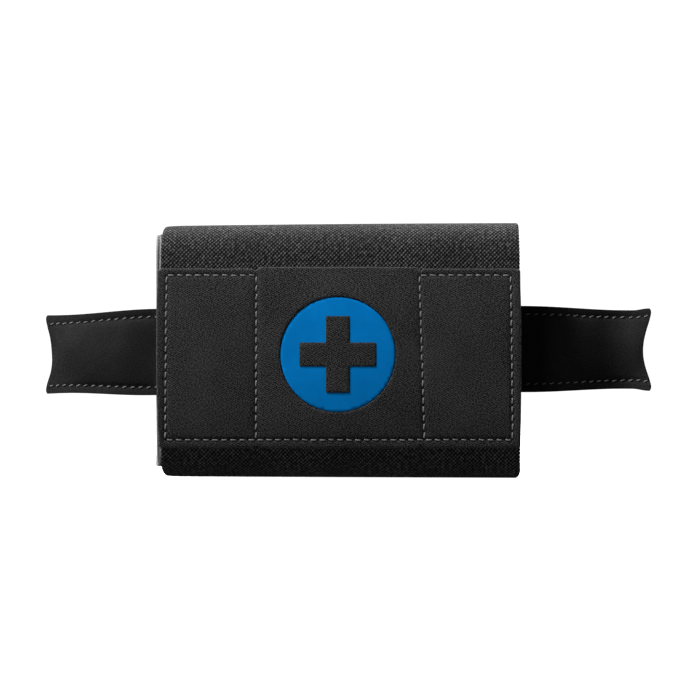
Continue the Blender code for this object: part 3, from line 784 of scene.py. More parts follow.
def panel_lift(x, z):
    """How far the panel's face stands off the elastic: fuller between seams and pressed in along them."""
    lift = 1.0 * MM
    seams = [seam_x(i, z) for i in range(4)]
    height = (z - 49.5 * MM) / (36 * MM)
    for low, high, rise in zip(seams, seams[1:], (0.6, 1.3, 0.6)):
        if low < x < high:
            across = (2 * x - low - high) / (high - low)
            lift += rise * MM * (1 - across**2) * max(0.0, 1 - height**4)
    gaps = [abs(x - at) for at in seams if SEAM_LOW < z < SEAM_HIGH]
    if seams[0] < x < seams[3]:
        gaps.append(abs(z - SEAM_LOW))
        if not seams[1] < x < seams[2]:
            gaps.append(abs(z - SEAM_HIGH))
    if gaps:
        lift -= 0.50 * MM * math.exp(-((min(gaps) / (0.8 * MM)) ** 2))
    return lift + 0.16 * MM * rough(x, z, 5.0, 45)


def panel_surface(x, z):
    return (x, front_y(z) - panel_lift(x, z), z)


def panel_edge_x(z, side):
    """The panel's ends bow out a little in the middle, and its corners are cut round."""
    bow = (0.9 if side < 0 else 0.5) * MM * ((z - 55 * MM) / (43 * MM)) ** 2
    corner = 1.4 * MM
    edge = min(z - PANEL_LOW, PANEL_HIGH - 0.6 * MM - z)
    cut = corner - math.sqrt(max(0.0, corner**2 - (corner - edge) ** 2)) if edge < corner else 0.0
    wave = 0.15 * MM * rough(z, side, 0.0, 120)
    lean = 0.4 * MM * (1 - z / PANEL_HIGH) if side > 0 else 0.0
    return (PANEL_LEFT if side < 0 else PANEL_RIGHT) + lean - side * (bow + cut) + wave


def panel_edge_z(x, top):
    """The top and bottom edges, with a notch where each middle seam ends."""
    wave = 0.15 * MM * rough(x, 7.0 if top else 9.0, 0.0, 110)
    notches = SEAMS_TOP[1:3] if top else NOTCHES_LOW
    notch = max(1.2 * MM * max(0.0, 1 - abs(x - at) / (1.7 * MM)) for at in notches)
    if top:
        side_drop = 0.0 if notches[0] < x < notches[1] else 0.7 * MM
        return PANEL_HIGH - side_drop - notch + wave
    return PANEL_LOW + notch + wave


def panel_outline():
    """The panel's edge, anticlockwise from its lower left corner."""
    xs = np.arange(PANEL_LEFT + 2.2 * MM, PANEL_RIGHT - 2.2 * MM, 0.6 * MM)
    zs = np.arange(PANEL_LOW + 0.15 * MM, PANEL_HIGH - 0.75 * MM, 0.6 * MM)
    bottom = [(x, panel_edge_z(x, False)) for x in xs]
    right = [(panel_edge_x(z, 1), z) for z in zs]
    top = [(x, panel_edge_z(x, True)) for x in xs[::-1]]
    left = [(panel_edge_x(z, -1), z) for z in zs[::-1]]
    return bottom + right + top + left


def circle(radius, count=120):
    turns = [2 * math.pi * k / count for k in range(count)]
    return [(radius * math.cos(turn), EMBLEM_Z + radius * math.sin(turn)) for turn in turns]


def cross_outline():
    """The emblem's plain cross, with its corners slightly rounded."""
    arm, tip = 5 * MM, 16 * MM
    corners = []
    for turn in range(4):
        for x, z in ((arm, arm), (arm, tip), (-arm, tip)):
            for _ in range(turn):
                x, z = -z, x
            corners.append(Vector((x, EMBLEM_Z + z)))
    points = []
    for before, corner, after in zip(corners[-1:] + corners, corners, corners[1:] + corners[:1]):
        sides = []
        for other in (before, after):
            start = corner + (other - corner).normalized() * 0.5 * MM
            along = (other - start).normalized()
            count = int((other - start).length / 2 / (0.9 * MM))
            sides.append([start + along * k * 0.9 * MM for k in range(count + 1)])
        middle = (sides[0][0] + sides[1][0]) / 2
        points += sides[0][::-1] + [middle + (corner - middle) * 0.5] + sides[1]
    return [tuple(point) for point in points]


def inset(outline, distance):
    """The outline moved inwards, for one that runs anticlockwise."""
    moved = []
    for i, point in enumerate(outline):
        along = (Vector(outline[(i + 1) % len(outline)]) - Vector(outline[i - 1])).normalized()
        moved.append((point[0] - along.y * distance, point[1] + along.x * distance))
    return moved


def inside(x, z, loop):
    """Whether a point is in a closed loop."""
    odd = False
    for i, (x1, z1) in enumerate(loop):
        x2, z2 = loop[i - 1]
        if (z1 > z) != (z2 > z) and x < (x2 - x1) * (z - z1) / (z2 - z1) + x1:
            odd = not odd
    return odd


def lattice(outline, rim):
    """Points inside an outline: a coarse grid, with close lines along the seams, all clear of the rim."""
    xs, zs = zip(*outline)
    step = 1.3 * MM
    heights = list(np.arange(min(zs), max(zs), step))
    heights += [at + d * MM for at in (SEAM_LOW, SEAM_HIGH) for d in (-1.2, -0.6, 0, 0.6, 1.2)]
    places = [(x, z) for x in np.arange(min(xs), max(xs), step) for z in heights]
    for index in range(4):
        for z in np.arange(SEAM_LOW, SEAM_HIGH, 1.2 * MM):
            places += [(seam_x(index, z) + d * MM, z) for d in (-1.2, -0.7, -0.35, 0, 0.35, 0.7, 1.2)]
    kept = []
    for x, z in places:
        if min(xs) < x < max(xs) and min(zs) < z < max(zs):
            if np.min(np.hypot(rim[:, 0] - x, rim[:, 1] - z)) > RIM:
                kept.append(Vector((x, z)))
    return kept


def triangulate(outline, holes):
    """Points over a cut shape, its triangles, and which points are on a cut edge and on the outline."""
    points, edges = [], []
    for loop in (outline, *holes):
        first = len(points)
        points += [Vector(p) for p in loop]
        edges += [(first + i, first + (i + 1) % len(loop)) for i in range(len(loop))]
    on_edge = len(points)
    for ring in (inset(outline, RIM), *(inset(hole[::-1], RIM)[::-1] for hole in holes)):
        points += [Vector(p) for p in ring]
    points += lattice(outline, np.array(points))
    flat, _, found, source, _, _ = geometry.delaunay_2d_cdt(points, edges, [], 1, 1e-7)
    cut = [any(k < on_edge for k in origins) for origins in source]
    outer = [any(k < len(outline) for k in origins) for origins in source]
    triangles = []
    for face in found:
        x, z = (sum(flat[i][k] for i in face) / 3 for k in (0, 1))
        if not any(inside(x, z, hole) for hole in holes):
            triangles.append(list(face))
    return flat, triangles, cut, outer


def laminate_piece(name, outline, thickness, material, holes=(), sunk=0.0, edge_material=None):
    """A thin piece cut to an outline and laid on the front, with its cut edges slightly eased."""
    flat, triangles, cut, outer = triangulate(outline, holes)
    count = len(flat)
    front, back = [], []
    for (x, z), eased in zip(flat, cut):
        x, y, z = panel_surface(x, z)
        front.append((x, y + sunk + (0.28 * MM if eased else 0.0), z))
        back.append((x, y + sunk + thickness, z))
    faces, edge_faces, sides = [], [], {}
    for face in triangles:
        a, b, c = (flat[i] for i in face)
        if (b[0] - a[0]) * (c[1] - a[1]) - (b[1] - a[1]) * (c[0] - a[0]) < 0:
            face.reverse()
        # The outline's front ring and every cut side get the edge material, a lighter grey that is partly
        # the cut edge's own colour and partly a painted highlight along the eased edge.
        if any(outer[i] for i in face):
            edge_faces.append(len(faces))
        faces += [tuple(face), tuple(count + i for i in reversed(face))]
        for k in range(3):
            sides[(face[k], face[(k + 1) % 3])] = True
    for a, b in sides:
        if (b, a) not in sides:
            edge_faces.append(len(faces))
            faces.append((b, a, count + a, count + b))
    lengths = 2 * [(z, x) for x, z in flat]
    return new_piece(name, front + back, faces, material, lengths, 50, edge_material, edge_faces)


def make_front(mats):
    window = circle(EMBLEM_RADIUS + 0.15 * MM)
    laminate = mats["laminate"]
    extra = {"holes": [window], "edge_material": mats["cut_edge_and_highlight"]}
    panel = laminate_piece("front_laminate", panel_outline(), PANEL_THICK, laminate, **extra)
    attach(panel, "sleeve", "laminate", "front_panel")
    round_edge = circle(EMBLEM_RADIUS)
    disc = laminate_piece("emblem_blue_disc", round_edge, 0.35 * MM, mats["blue"], sunk=0.45 * MM)
    attach(disc, "sleeve", "emblem_blue", "emblem_disc")
    cross = laminate_piece("emblem_plain_cross", cross_outline(), 0.4 * MM, laminate, sunk=0.03 * MM)
    attach(cross, "sleeve", "laminate", "emblem_cross")
    tops = [(x, SEAM_HIGH) for x in SEAMS_TOP]
    feet = [(x, SEAM_LOW) for x in SEAMS_FOOT]
    runs = list(zip(tops, feet)) + list(zip(feet, feet[1:])) + [(tops[0], tops[1]), (tops[2], tops[3])]
    rows = [seam(panel_surface, start, end, PANEL_STITCH[0], 0.22 * MM) for start, end in runs]
    stitched("panel_seam", rows, "sleeve", "laminate", mats, PANEL_STITCH, slant=0.08)


# ---------------------------------------------------------------- the pull tabs


def tab_line(tab):
    """The tape's middle line in plan, from the strap's middle to the tab's end."""
    samples = 160
    step = tab["length"] / samples
    x, y = TAB_HINGE_X, 0.0
    points = [(0.0, 0.0), (x, y)]
    for i in range(samples):
        t = (i + 0.5) / samples
        heading = tab["turn"] * t**1.5 + tab["flick"] * ease((t - 0.6) / 0.4)
        x += math.cos(heading) * step
        y += math.sin(heading) * step
        points.append((x, y))
    return np.array(points)


def tab_surface(tab, face):
    """A map from (length along the tape, place across it from -1 to 1) to a point on one of its faces."""
    line = tab_line(tab)
    whole = path_length(line)

    def place(s, v):
        t = max(0.0, (s - TAB_HINGE_X) / (whole - TAB_HINGE_X))
        near_tip = float(ease((t - 0.85) / 0.15))
        hollow = math.cos(math.pi / 2 * min(1.0, abs(v) / 0.88)) ** 1.4
        cup = (4.45 * MM * hollow + 0.8 * MM * max(0.0, (abs(v) - 0.93) / 0.07) ** 2) * t**8
        at = s - cup
        (x, y), ahead, behind = resample(line, [at, min(whole, at + 0.5 * MM), at - 0.5 * MM])
        along = ahead - behind
        along /= max(1e-9, float(np.hypot(*along)))
        waist = tab["waist"] * float(ease(t / 0.8)) - tab["flare"] * near_tip
        inner = np.clip(1 - (v / 0.8) ** 2, 0, 1)
        swell = float(ease((s - TAB_HINGE_X + 6 * MM) / (22 * MM))) * (1 - 0.55 * near_tip)
        puff = 2.0 * MM * inner**0.8 * swell + 0.35 * MM * rough(s * tab["side"], v * 0.02, 4.0, 70) * inner
        ridge = math.exp(-(((v - 0.12) / 0.38) ** 2)) - 0.9 * math.exp(-(((v + 0.62) / 0.22) ** 2))
        puff += tab["crease"] * ridge * inner**0.5 * float(ease((t - 0.55) / 0.4))
        root, tip = tab["seams"][0 if v < 0 else 1]
        press = 0.40 * MM * math.exp(-(((abs(v) - abs(root + (tip - root) * t)) / 0.05) ** 2)) * (t > 0)
        fold = min(1.0, max(0.0, 1 - (whole - s) / TAB_FOLD))
        half = (0.85 * MM + puff - press) * max(0.15, math.sqrt(1 - fold**2))
        x += face * along[1] * half
        y += face * along[0] * half
        z = STRAP_Z + tab["rise"] * s / TAB_HINGE_X + tab["drop"] * t + v * (STRAP_HALF - waist)
        return (tab["side"] * x, STRAP_Y + y, z)

    return place, whole


def seam_on_tape(face, ends, end, flip):
    """Stitches along the tape. ends are the seam's place across it at the root and at the tip."""
    start = TAB_HINGE_X - 30 * MM
    count = round((end - start) / TAB_STITCH[0])
    step = 0.3 * MM
    row = []
    for i in range(count):
        s = start + (end - start) * (i + 0.5) / count
        t = max(0.0, (s - TAB_HINGE_X) / (end - TAB_HINGE_X))
        v = ends[0] + (ends[1] - ends[0]) * t + 0.012 * rough(s, ends[0], flip, 260)
        along = Vector(face(s + step, v)) - Vector(face(s - step, v))
        across = Vector(face(s, v + 0.01)) - Vector(face(s, v - 0.01))
        row.append((Vector(face(s, v)), along, along.cross(across) * flip))
    return row


def make_tab(word, mats):
    tab = TABS[word]
    side = tab["side"]
    front, whole = tab_surface(tab, face=-1)
    back, _ = tab_surface(tab, face=1)
    tip = whole - TAB_FOLD * (1 - np.sin(np.radians([0, 20, 38, 52, 64, 74, 82, 90])))
    root = np.linspace(0, TAB_HINGE_X - 4 * MM, 12)
    s_lines = np.concatenate([root, np.linspace(TAB_HINGE_X - 3 * MM, tip[0] - 0.7 * MM, 60), tip])
    close = [place * way for place in (0.75, 0.8, 0.85, 0.985) for way in (-1, 1)]
    v_lines = np.unique(np.round(np.concatenate([np.linspace(-1, 1, 33), close]), 4))
    points = np.concatenate([over(s_lines, v_lines, face).reshape(-1, 3) for face in (front, back)])
    faces = shell_faces(len(s_lines), len(v_lines))
    lengths = sheet_lengths(s_lines, v_lines * STRAP_HALF)
    obj = new_piece(f"{word}_tab_tape", points, faces, mats["tape"], lengths, sharp=60)
    weld(obj)
    soften(obj, 0.45 * MM, 50)
    bend = [(side * (TAB_HINGE_X + d * MM), STRAP_Y, STRAP_Z) for d in (-2.5, 3.5)]
    hinge = ("insert", f"{word}_tab", *bend)
    attach(obj, hinge, "pull_tape", f"{word}_pull_tab", "pull_strap")

    end = whole - 0.9 * MM
    rows = []
    for face, flip in ((front, side), (back, -side)):
        rows += [seam_on_tape(face, ends, end, flip) for ends in tab["seams"]]
    stitched(f"{word}_tab_seam", rows, hinge, "pull_tape", mats, TAB_STITCH, "tab_thread", -0.3)


# ---------------------------------------------------------------- belt loops and snaps


def loop_path():
    """The webbing's line in Y and Z, from the top of its anchor down to its lower end."""
    anchor_low, anchor_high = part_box("left_loop_anchor")
    loop_low, loop_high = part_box("left_belt_loop")
    hinge_y = (anchor_low.y + anchor_high.y) / 2
    channel_y = loop_high.y - WEBBING_HALF
    snap_y = channel_y - 0.6 * MM

    def slope(start, end, top, drop, steps):
        shares = [k / steps for k in range(steps + 1)]
        return [(start + (end - start) * float(ease(share)), top - drop * share) for share in shares]

    path = [(hinge_y, anchor_high.z), (hinge_y, loop_high.z + 0.5 * MM)]
    path += slope(hinge_y, channel_y, loop_high.z, 8 * MM, 12)
    path += slope(channel_y, snap_y, SNAP_Z + 12 * MM, 4 * MM, 8)
    return path + [(snap_y, loop_low.z)]


def make_loop(side, word, mats):
    path = loop_path()
    near = (0.3 * MM, 0.9 * MM)
    rib = 1.9 * MM
    centre = side * LOOP_X
    u = grid_lines(0, path_length(path), 1.2 * MM, near)
    v = grid_lines(-LOOP_HALF, LOOP_HALF, rib, near)
    line = resample(path, u)
    middle = over(line, v, lambda at, x: (centre + x, at[0] + 0.10 * MM * rough(x, at[1], side, 40), at[1]))
    ribs = 0.10 * MM * (0.5 - 0.5 * np.cos(2 * np.pi * v / rib))
    half = (WEBBING_HALF - ribs) * soft_edges(u, v, 0.9 * MM, 0.9 * MM)
    obj = sheet_piece(f"{word}_loop_webbing", u, v, middle, half, mats["webbing"])
    bend = [(centre, line[0][0], z * MM) for z in (87.6, 82.6)]
    attach(obj, ("sleeve", f"{word}_loop", *bend), "webbing", f"{word}_belt_loop", f"{word}_loop_anchor")

    low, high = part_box(f"{word}_loop_anchor")
    left, right = centre - LOOP_HALF + 2.5 * MM, centre + LOOP_HALF - 2.5 * MM
    foot, top = low.z + 1.2 * MM, high.z - 1.4 * MM
    box = ((right, foot), (left, foot), (left, top), (right, top))
    runs = ((0, 1), (1, 2), (2, 3), (3, 0), (0, 2), (1, 3))
    rows = [seam_behind(box[start], box[end], high.y, LOOP_STITCH[0]) for start, end in runs]
    stitched(f"{word}_anchor_seam", rows, "sleeve", "webbing", mats, LOOP_STITCH)

    outer = line[-1][0] + WEBBING_HALF
    hems = ((SNAP_Z + 10.5 * MM, outer + 0.4 * MM), (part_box("left_belt_loop")[0].z + 2 * MM, outer))
    rows = [seam_behind((right, z), (left, z), y, LOOP_STITCH[0]) for z, y in hems]
    stitched(f"{word}_hem_seam", rows, f"{word}_loop", "webbing", mats, LOOP_STITCH)


def make_snap(side, word, mats):
    for part, profile in SNAPS.items():
        node = f"{word}_snap_{part}"
        low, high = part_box(node)
        y = high.y - SNAP_CAP_TOP * MM if part == "cap" else low.y
        obj = turned(f"{word}_{part}", profile, (side * LOOP_X, y, SNAP_Z), "Y", mats["metal"])
        attach(obj, "sleeve" if part == "stud" else f"{word}_loop", "snap_metal", node)


# ---------------------------------------------------------------- the insert


def insert_profile():
    """The folded panel's line in Y and Z, as in the CAD: back leaf, fold, middle leaf, fold, front leaf."""
    low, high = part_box("insert_panel")
    top = high.z - INSERT_LEAF / 2
    back_leaf = high.y - INSERT_LEAF / 2
    corner_y, turn = front_corner()
    depth = ELASTIC + 0.5 * MM + INSERT_LEAF / 2
    front = arc((BULGE_Y, SLEEVE_HEIGHT / 2), BULGE_RADIUS - depth, 360 - turn, turn, 40)
    half_back, half_front = back_leaf / 2, -front[0][0] / 2
    corner_z, corner = SLEEVE_HEIGHT - FRONT_CORNER, FRONT_CORNER - depth
    end = 180 - math.degrees(math.asin((top - corner_z) / corner))
    return np.concatenate(
        [
            [(back_leaf, low.z)],
            arc((half_back, top - half_back), half_back, 0, 180),
            arc((-half_front, front[0][1]), half_front, 360, 180),
            front,
            arc((corner_y, corner_z), corner, turn, end, 8),
        ]
    )


def make_insert(mats):
    path = insert_profile()
    u = grid_lines(0, path_length(path), 1.4 * MM, near=(0.2 * MM, 0.6 * MM))
    v = grid_lines(-1, 1, 0.05, near=(0.003, 0.010, 0.0185))
    middle = np.zeros((len(u), len(v), 3))
    for row, (y, z) in zip(middle, resample(path, u)):
        leaf = float(ease((-y - 6 * MM) / (12 * MM)))
        left = INSERT_LEFT + 2.0 * MM * leaf + 0.12 * MM * rough(y, z, 8.0, 60)
        right = INSERT_RIGHT + 0.3 * MM * rough(y, z, 9.0, 60)
        row[:, 0] = left + (right - left) * (v + 1) / 2
        row[:, 1] = y + 0.12 * MM * np.array([rough(x, y, z, 35) for x in row[:, 0]])
        row[:, 2] = z + 0.8 * MM * np.clip(z / (50 * MM) - 1, 0, 1)
    half = INSERT_LEAF / 2 * soft_edges(u, v, 0.5 * MM, 0.009)
    bound = []
    for index, face in enumerate(shell_faces(len(u), len(v))):
        columns = [point % len(v) for point in face]
        if max(columns) <= 2 or min(columns) >= len(v) - 3:
            bound.append(index)
    edges = {"edge_material": mats["binding"], "edge_faces": bound}
    across = (v + 1) / 2 * (INSERT_WIDTH - 0.9 * MM)
    obj = sheet_piece("folded_insert", u, across, middle, half, mats["insert"], sharp=40, **edges)
    attach(obj, "insert", "insert_laminate", "insert_panel")


def make_pocket(word, mats):
    """An elastic pocket sewn to the middle leaf and lifted over what it holds, hemmed at top and bottom."""
    node = f"{word}_pocket_elastic"
    low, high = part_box(node)
    thick = 0.6 * MM
    side = -1 if word == "front" else 1
    near, far = low.y + thick, high.y - thick
    crown, base = (near, far) if side < 0 else (far, near)
    reach, rise, flat = (high.x - low.x) / 2, 7 * MM, 3 * MM
    centre = (low.x + high.x) / 2
    steps = [(-reach, base), (flat - reach, base)]
    for k in range(1, 13):
        steps.append((flat - reach + rise * k / 12, base + (crown - base) * float(ease(k / 12))))
    path = [(centre + x, y) for x, y in steps] + [(centre - x, y) for x, y in reversed(steps)]
    v = grid_lines(0, path_length(path), 2 * MM, near=(0.3 * MM, 0.9 * MM))
    u = grid_lines(low.z, high.z, 2 * MM, near=(0.2 * MM, 0.6 * MM, 3.2 * MM, 3.8 * MM))

    def point(z, at):
        x, y = at
        pull = 0.8 * MM * abs(2 * (z - low.z) / (high.z - low.z) - 1) ** 6
        lifted = abs(y - base) / abs(crown - base)
        return (x, y - side * pull * lifted * 0.3 + 0.1 * MM * rough(x, z, side, 50) * lifted, z)

    middle = over(u, resample(path, v), point)
    hemmed = np.where(np.minimum(u - low.z, high.z - u) < 3.5 * MM, 1.0, 0.72)
    half = thick * hemmed[:, None] * soft_edges(u, v, 0.6 * MM, 0.6 * MM)
    obj = sheet_piece(f"{word}_pocket", u, v, middle, half, mats["pocket"])
    attach(obj, "insert", "woven_elastic", node)


# ---------------------------------------------------------------- what the insert holds


def inflate(obj, held, low, high):
    """Swells a sealed packet as cloth under pressure, with its seals held, inside its CAD box."""
    group = obj.vertex_groups.new(name="seals")
    group.add(held, 1.0, "REPLACE")
    cloth = obj.modifiers.new("inflate", "CLOTH")
    for key, value in CLOTH.items():
        setattr(cloth.settings, key, value)
    cloth.settings.effector_weights.gravity = 0
    cloth.settings.vertex_group_mass = group.name
    for number in range(1, CLOTH_FRAMES + 1):
        bpy.context.scene.frame_set(number)
    swollen = obj.evaluated_get(bpy.context.evaluated_depsgraph_get()).data
    moves = [after.co - before.co for before, after in zip(obj.data.vertices, swollen.vertices)]
    obj.modifiers.remove(cloth)
    bpy.context.scene.frame_set(1)
    for vertex, move in zip(obj.data.vertices, moves):
        place = vertex.co + move * min(1.0, MOST_SWELL / max(move.length, 1e-9))
        vertex.co = [min(max(value, least), last) for value, least, last in zip(place, low, high)]
    obj.vertex_groups.remove(group)


def make_pack(name, node, slot, material, ribs, seed):
    """A vacuum-packed packet: full in the middle, with two flat crimped seals."""
    low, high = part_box(node)
    size = high - low
    crimp = 6 * MM

    def point(a, b):
        sz, sx = 2 * a / size.z - 1, 2 * b / size.x - 1
        inner = min(1.0, (1 - abs(sz)) * size.z / 2 / crimp)
        body = 0.0
        if inner >= 0.55:
            body = max(0.0, 1 - (abs(sz) / (1 - crimp / size.z * 1.2)) ** 7) ** 0.5
        width = max(0.0, 1 - abs(sx) ** 9) ** 0.5
        fold = 0.06 * math.cos(ribs * math.pi * sz) * body
        crease = 0.07 * rough(a + seed, b, seed, 140) + 0.05 * rough(a, b + seed, seed, 330)
        full = body * width * (0.84 + fold + crease)
        edge = 0.35 * MM + (0.12 * MM * math.cos(2 * math.pi * a / (1.4 * MM)) if inner < 0.5 else 0.0)
        x = (low.x + high.x) / 2 + (b - size.x / 2) * (1 - 0.015 * (1 - body))
        y = (low.y + high.y) / 2 + 0.25 * MM * rough(a, b, seed, 60) * (1 - body)
        return (x, y, low.z + a, max(edge, full * size.y / 2), body == 0.0)

    u, v = np.linspace(0, size.z, 61), np.linspace(0, size.x, 49)
    grid = over(u, v, point)
    held = np.flatnonzero(np.tile(grid[..., 4].ravel(), 2)).tolist()
    obj = sheet_piece(name, u, v, grid[..., :3], grid[..., 3], material)
    inflate(obj, held, low, high)
    attach(obj, "insert", slot, node)


def make_seal_pouch(name, node, material, seed):
    """A flat foil pouch with a pressed border."""
    low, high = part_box(node)
    size = high - low
    near = (0.3 * MM, 5 * MM, 6 * MM)

    def point(a, b):
        swell = float(ease((min(a, size.z - a, b, size.x - b) - 4.6 * MM) / (2.5 * MM)))
        press = 0.06 * MM * math.cos(2 * math.pi * (a + b) / (1.6 * MM)) * (1 - swell)
        half = 0.20 * MM + press + swell * (0.26 + 0.10 * rough(a, b, seed, 90)) * MM
        return (low.x + b, (low.y + high.y) / 2 + 0.08 * MM * rough(a, b, seed, 50), low.z + a, half)

    u, v = grid_lines(0, size.z, 1.6 * MM, near), grid_lines(0, size.x, 1.6 * MM, near)
    grid = over(u, v, point)
    attach(sheet_piece(name, u, v, grid[..., :3], grid[..., 3], material), "insert", "seal_film", node)


def make_gloves(mats):
    """A pair of gloves rolled up: a spiral of thin sheet whose ends aren't quite square."""
    low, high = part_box("glove_bundle")
    centre, reach = (low + high) / 2, (high - low) / 2
    turns = 4.2

    def point(t, b):
        angle = 2 * math.pi * turns * t
        out = reach.x * (0.985 - 0.03 * math.sin(5.3 * angle) * t - 0.02 * (1 - t))
        share = (0.16 + 0.84 * t) * (1 + 0.05 * rough(b * 0.05, t * 0.3, 3.0, 90))
        y = centre.y + (reach.y - 0.5 * MM) * share * math.cos(angle)
        return (centre.x + b * out, y, centre.z + (reach.z - 0.5 * MM) * share * math.sin(angle))

    v = grid_lines(-1, 1, 0.06, near=(0.004, 0.012))
    middle = over(np.linspace(0, 1, 190), v, point)
    u = np.linspace(0, 0.16, len(middle))
    half = 0.34 * MM * soft_edges(u, v, 0.001, 0.008)
    obj = sheet_piece("rolled_gloves", u, v * 0.05, middle, half, mats["glove"])
    attach(obj, "insert", "glove_nitrile", "glove_bundle")
    path_length(middle[:, 0])


def make_folded_strap(mats):
    """The tourniquet's strap, folded into four layers."""
    low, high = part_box("tourniquet_strap")
    layers, thick = 4, 1.4 * MM
    pitch = (high.y - low.y - thick) / (layers - 1)
    reach = (high.x - low.x) / 2 - pitch / 2 - thick / 2
    path = []
    for layer in range(layers):
        y = low.y + thick / 2 + layer * pitch
        side = 1 if layer % 2 == 0 else -1
        path += [(INSERT_X - side * reach, y), (INSERT_X + side * reach, y)]
        if layer < layers - 1:
            for turn in np.pi * (np.arange(1, 12) / 12 - 0.5):
                out = reach + pitch / 2 * math.cos(turn)
                path.append((INSERT_X + side * out, y + pitch / 2 + pitch / 2 * math.sin(turn)))
    v = grid_lines(0, path_length(path), 1.5 * MM, near=(0.3 * MM, 0.8 * MM))
    v = np.unique(np.round(np.concatenate([v, distances(path)]), 7))
    u = grid_lines(low.z, high.z, 2.4 * MM, near=(0.3 * MM, 1.0 * MM))
    middle = over(u, resample(path, v), lambda z, at: (at[0], at[1], z))
    half = 0.62 * MM * soft_edges(u, v, 1.0 * MM, 0.6 * MM)
    obj = sheet_piece("folded_strap", u, v, middle, half, mats["strap"])
    attach(obj, "insert", "tourniquet_strap", "tourniquet_strap")
    path_length(path)


def make_windlass(mats):
    """The tourniquet's rod, turned finer than in the CAD, with grooves at both ends."""
    low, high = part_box("tourniquet_windlass")
    reach = (high.x - low.x) / 2 / MM
    end = [(0, reach), (1.6, reach), (2.5, reach - 0.5), (2.9, reach - 1.6)]
    profile = list(end)
    for h in (reach - 8) * np.linspace(1, -1, 61):
        grooved = float(ease((abs(h) - 9) / 3))
        profile.append((3.45 - 0.32 * grooved * (1 - math.cos(2 * math.pi * h / 3.4)) / 2, h))
    profile += [(radius, -h) for radius, h in reversed(end)]
    rod = turned("windlass_rod", profile, (low + high) / 2, "X", mats["plastic"], steps=32)
    attach(rod, "insert", "tourniquet_plastic", "tourniquet_windlass")


def make_marker(mats):
    low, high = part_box("marker_barrel")
    y, z = (low.y + high.y) / 2, (low.z + high.z) / 2
    reach = (high.x - low.x) / MM
    tube = ((0, reach), (4.3, reach), *MARKER_BARREL)
    obj = turned("marker_tube", tube, (low.x, y, z), "X", mats["marker"], steps=36)
    attach(obj, "insert", "marker_plastic", "marker_barrel")
    low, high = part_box("marker_cap")
    reach = (high.x - low.x) / MM
    hood = ((0, reach), (3.4, reach - 0.2), (4.1, reach - 1.2), (4.6, reach - 3.5), *MARKER_CAP)
    obj = turned("marker_hood", hood, (low.x, y, z), "X", mats["marker"], steps=36)
    attach(obj, "insert", "marker_plastic", "marker_cap")


def paint_kept_nodes(mats):
    """Materials for the CAD nodes whose shapes are right as they are, and rounded edges on the plastic."""
    kept = {
        "left_snap_eyelet": "metal",
        "right_snap_eyelet": "metal",
        "tourniquet_base_plate": "plastic",
        "tourniquet_clip": "plastic",
        "tourniquet_buckle": "plastic",
        "tourniquet_time_tag": "tag",
    }
    for name, material in kept.items():
        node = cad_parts[name]
        node.data.materials.clear()
        node.data.materials.append(mats[material])
        if material == "plastic":
            soften(node, 0.25 * MM, 30)


# ---------------------------------------------------------------- stage


def make_lights():
    for name, (place, width, height, power) in LIGHTS.items():
        lamp = bpy.data.lights.new(name, "AREA")
        lamp.shape = "RECTANGLE"
        lamp.size = width
        lamp.size_y = height
        lamp.energy = power
        obj = bpy.data.objects.new(name, lamp)
        obj.location = place
        obj.rotation_euler = (Vector((0, 0, 0.05)) - Vector(place)).to_track_quat("-Z", "Y").to_euler()
        bpy.context.scene.collection.objects.link(obj)


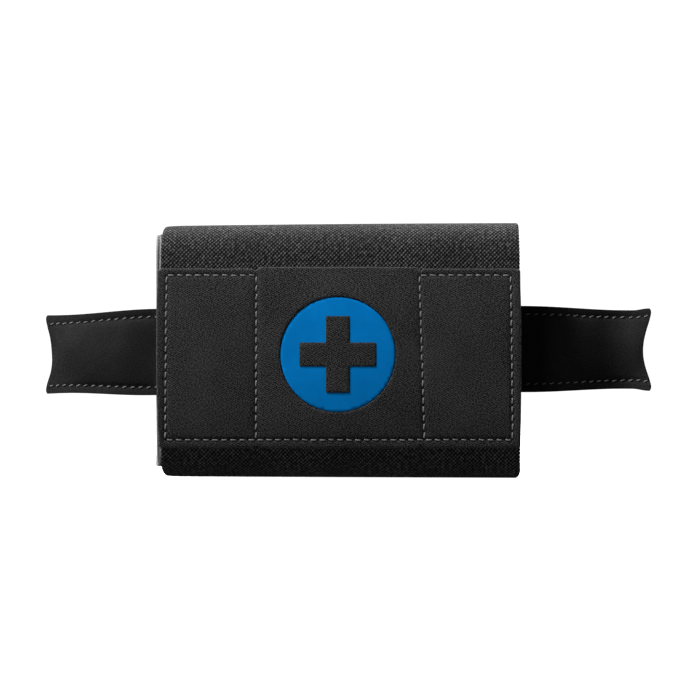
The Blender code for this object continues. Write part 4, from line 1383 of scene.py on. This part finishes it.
def make_world():
    """A faint even fill, behind which the camera sees plain white."""
    world = bpy.data.worlds.new("studio")
    bpy.context.scene.world = world
    bpy.context.scene.view_settings.view_transform = "Standard"
    world.use_nodes = True
    nodes, links = world.node_tree.nodes, world.node_tree.links
    fill, backdrop = nodes["Background"], nodes.new("ShaderNodeBackground")
    for light, strength in ((fill, 0.09), (backdrop, 1.1)):
        light.inputs["Color"].default_value = (1, 1, 1, 1)
        light.inputs["Strength"].default_value = strength
    mix = nodes.new("ShaderNodeMixShader")
    links.new(nodes.new("ShaderNodeLightPath").outputs["Is Camera Ray"], mix.inputs[0])
    links.new(fill.outputs[0], mix.inputs[1])
    links.new(backdrop.outputs[0], mix.inputs[2])
    links.new(mix.outputs[0], nodes["World Output"].inputs[0])


def make_floor():
    bpy.ops.mesh.primitive_plane_add(size=12, location=(0, 0, FLOOR_Z))
    floor = bpy.context.object
    floor.name = "floor"
    g = Graph("pale_floor", roughness=0.9, specular=0.1)
    g.set(g.shader, "Emission Color", (1, 1, 1, 1))
    g.set(g.shader, "Emission Strength", 1.0)
    floor.data.materials.append(g.finish(g.mix(g.noise(g.place(), 3, 2), grey(0.80), grey(0.84))))
    floor.visible_diffuse = False
    floor.visible_glossy = False


def make_camera():
    camera = bpy.data.cameras.new("camera")
    camera.sensor_width = SENSOR
    camera.lens = SENSOR * CAMERA_DISTANCE / VIEW_WIDTH
    obj = bpy.data.objects.new("camera", camera)
    obj.location = (CAMERA_X, SLEEVE_FRONT - CAMERA_DISTANCE, CAMERA_Z)
    obj.rotation_euler = (math.pi / 2, 0, 0)
    bpy.context.scene.collection.objects.link(obj)
    bpy.context.scene.camera = obj


def main():
    mats = make_materials()
    make_camera()
    make_world()
    make_floor()
    make_lights()
    make_sleeve(mats)
    make_back_panel(mats)
    make_front(mats)
    for side, word in ((-1, "left"), (1, "right")):
        make_tab(word, mats)
        make_loop(side, word, mats)
        make_snap(side, word, mats)
    make_insert(mats)
    make_pocket("front", mats)
    make_pocket("back", mats)
    make_pack("gauze_packet", "gauze_pack", "gauze_film", mats["gauze"], 5, 0.3)
    make_pack("dressing_packet", "dressing_pack", "dressing_film", mats["dressing"], 3, 0.7)
    make_seal_pouch("front_seal_pouch", "chest_seal_front", mats["foil"], 0.2)
    make_seal_pouch("back_seal_pouch", "chest_seal_back", mats["foil"], 0.9)
    make_gloves(mats)
    make_folded_strap(mats)
    make_windlass(mats)
    make_marker(mats)
    paint_kept_nodes(mats)


main()
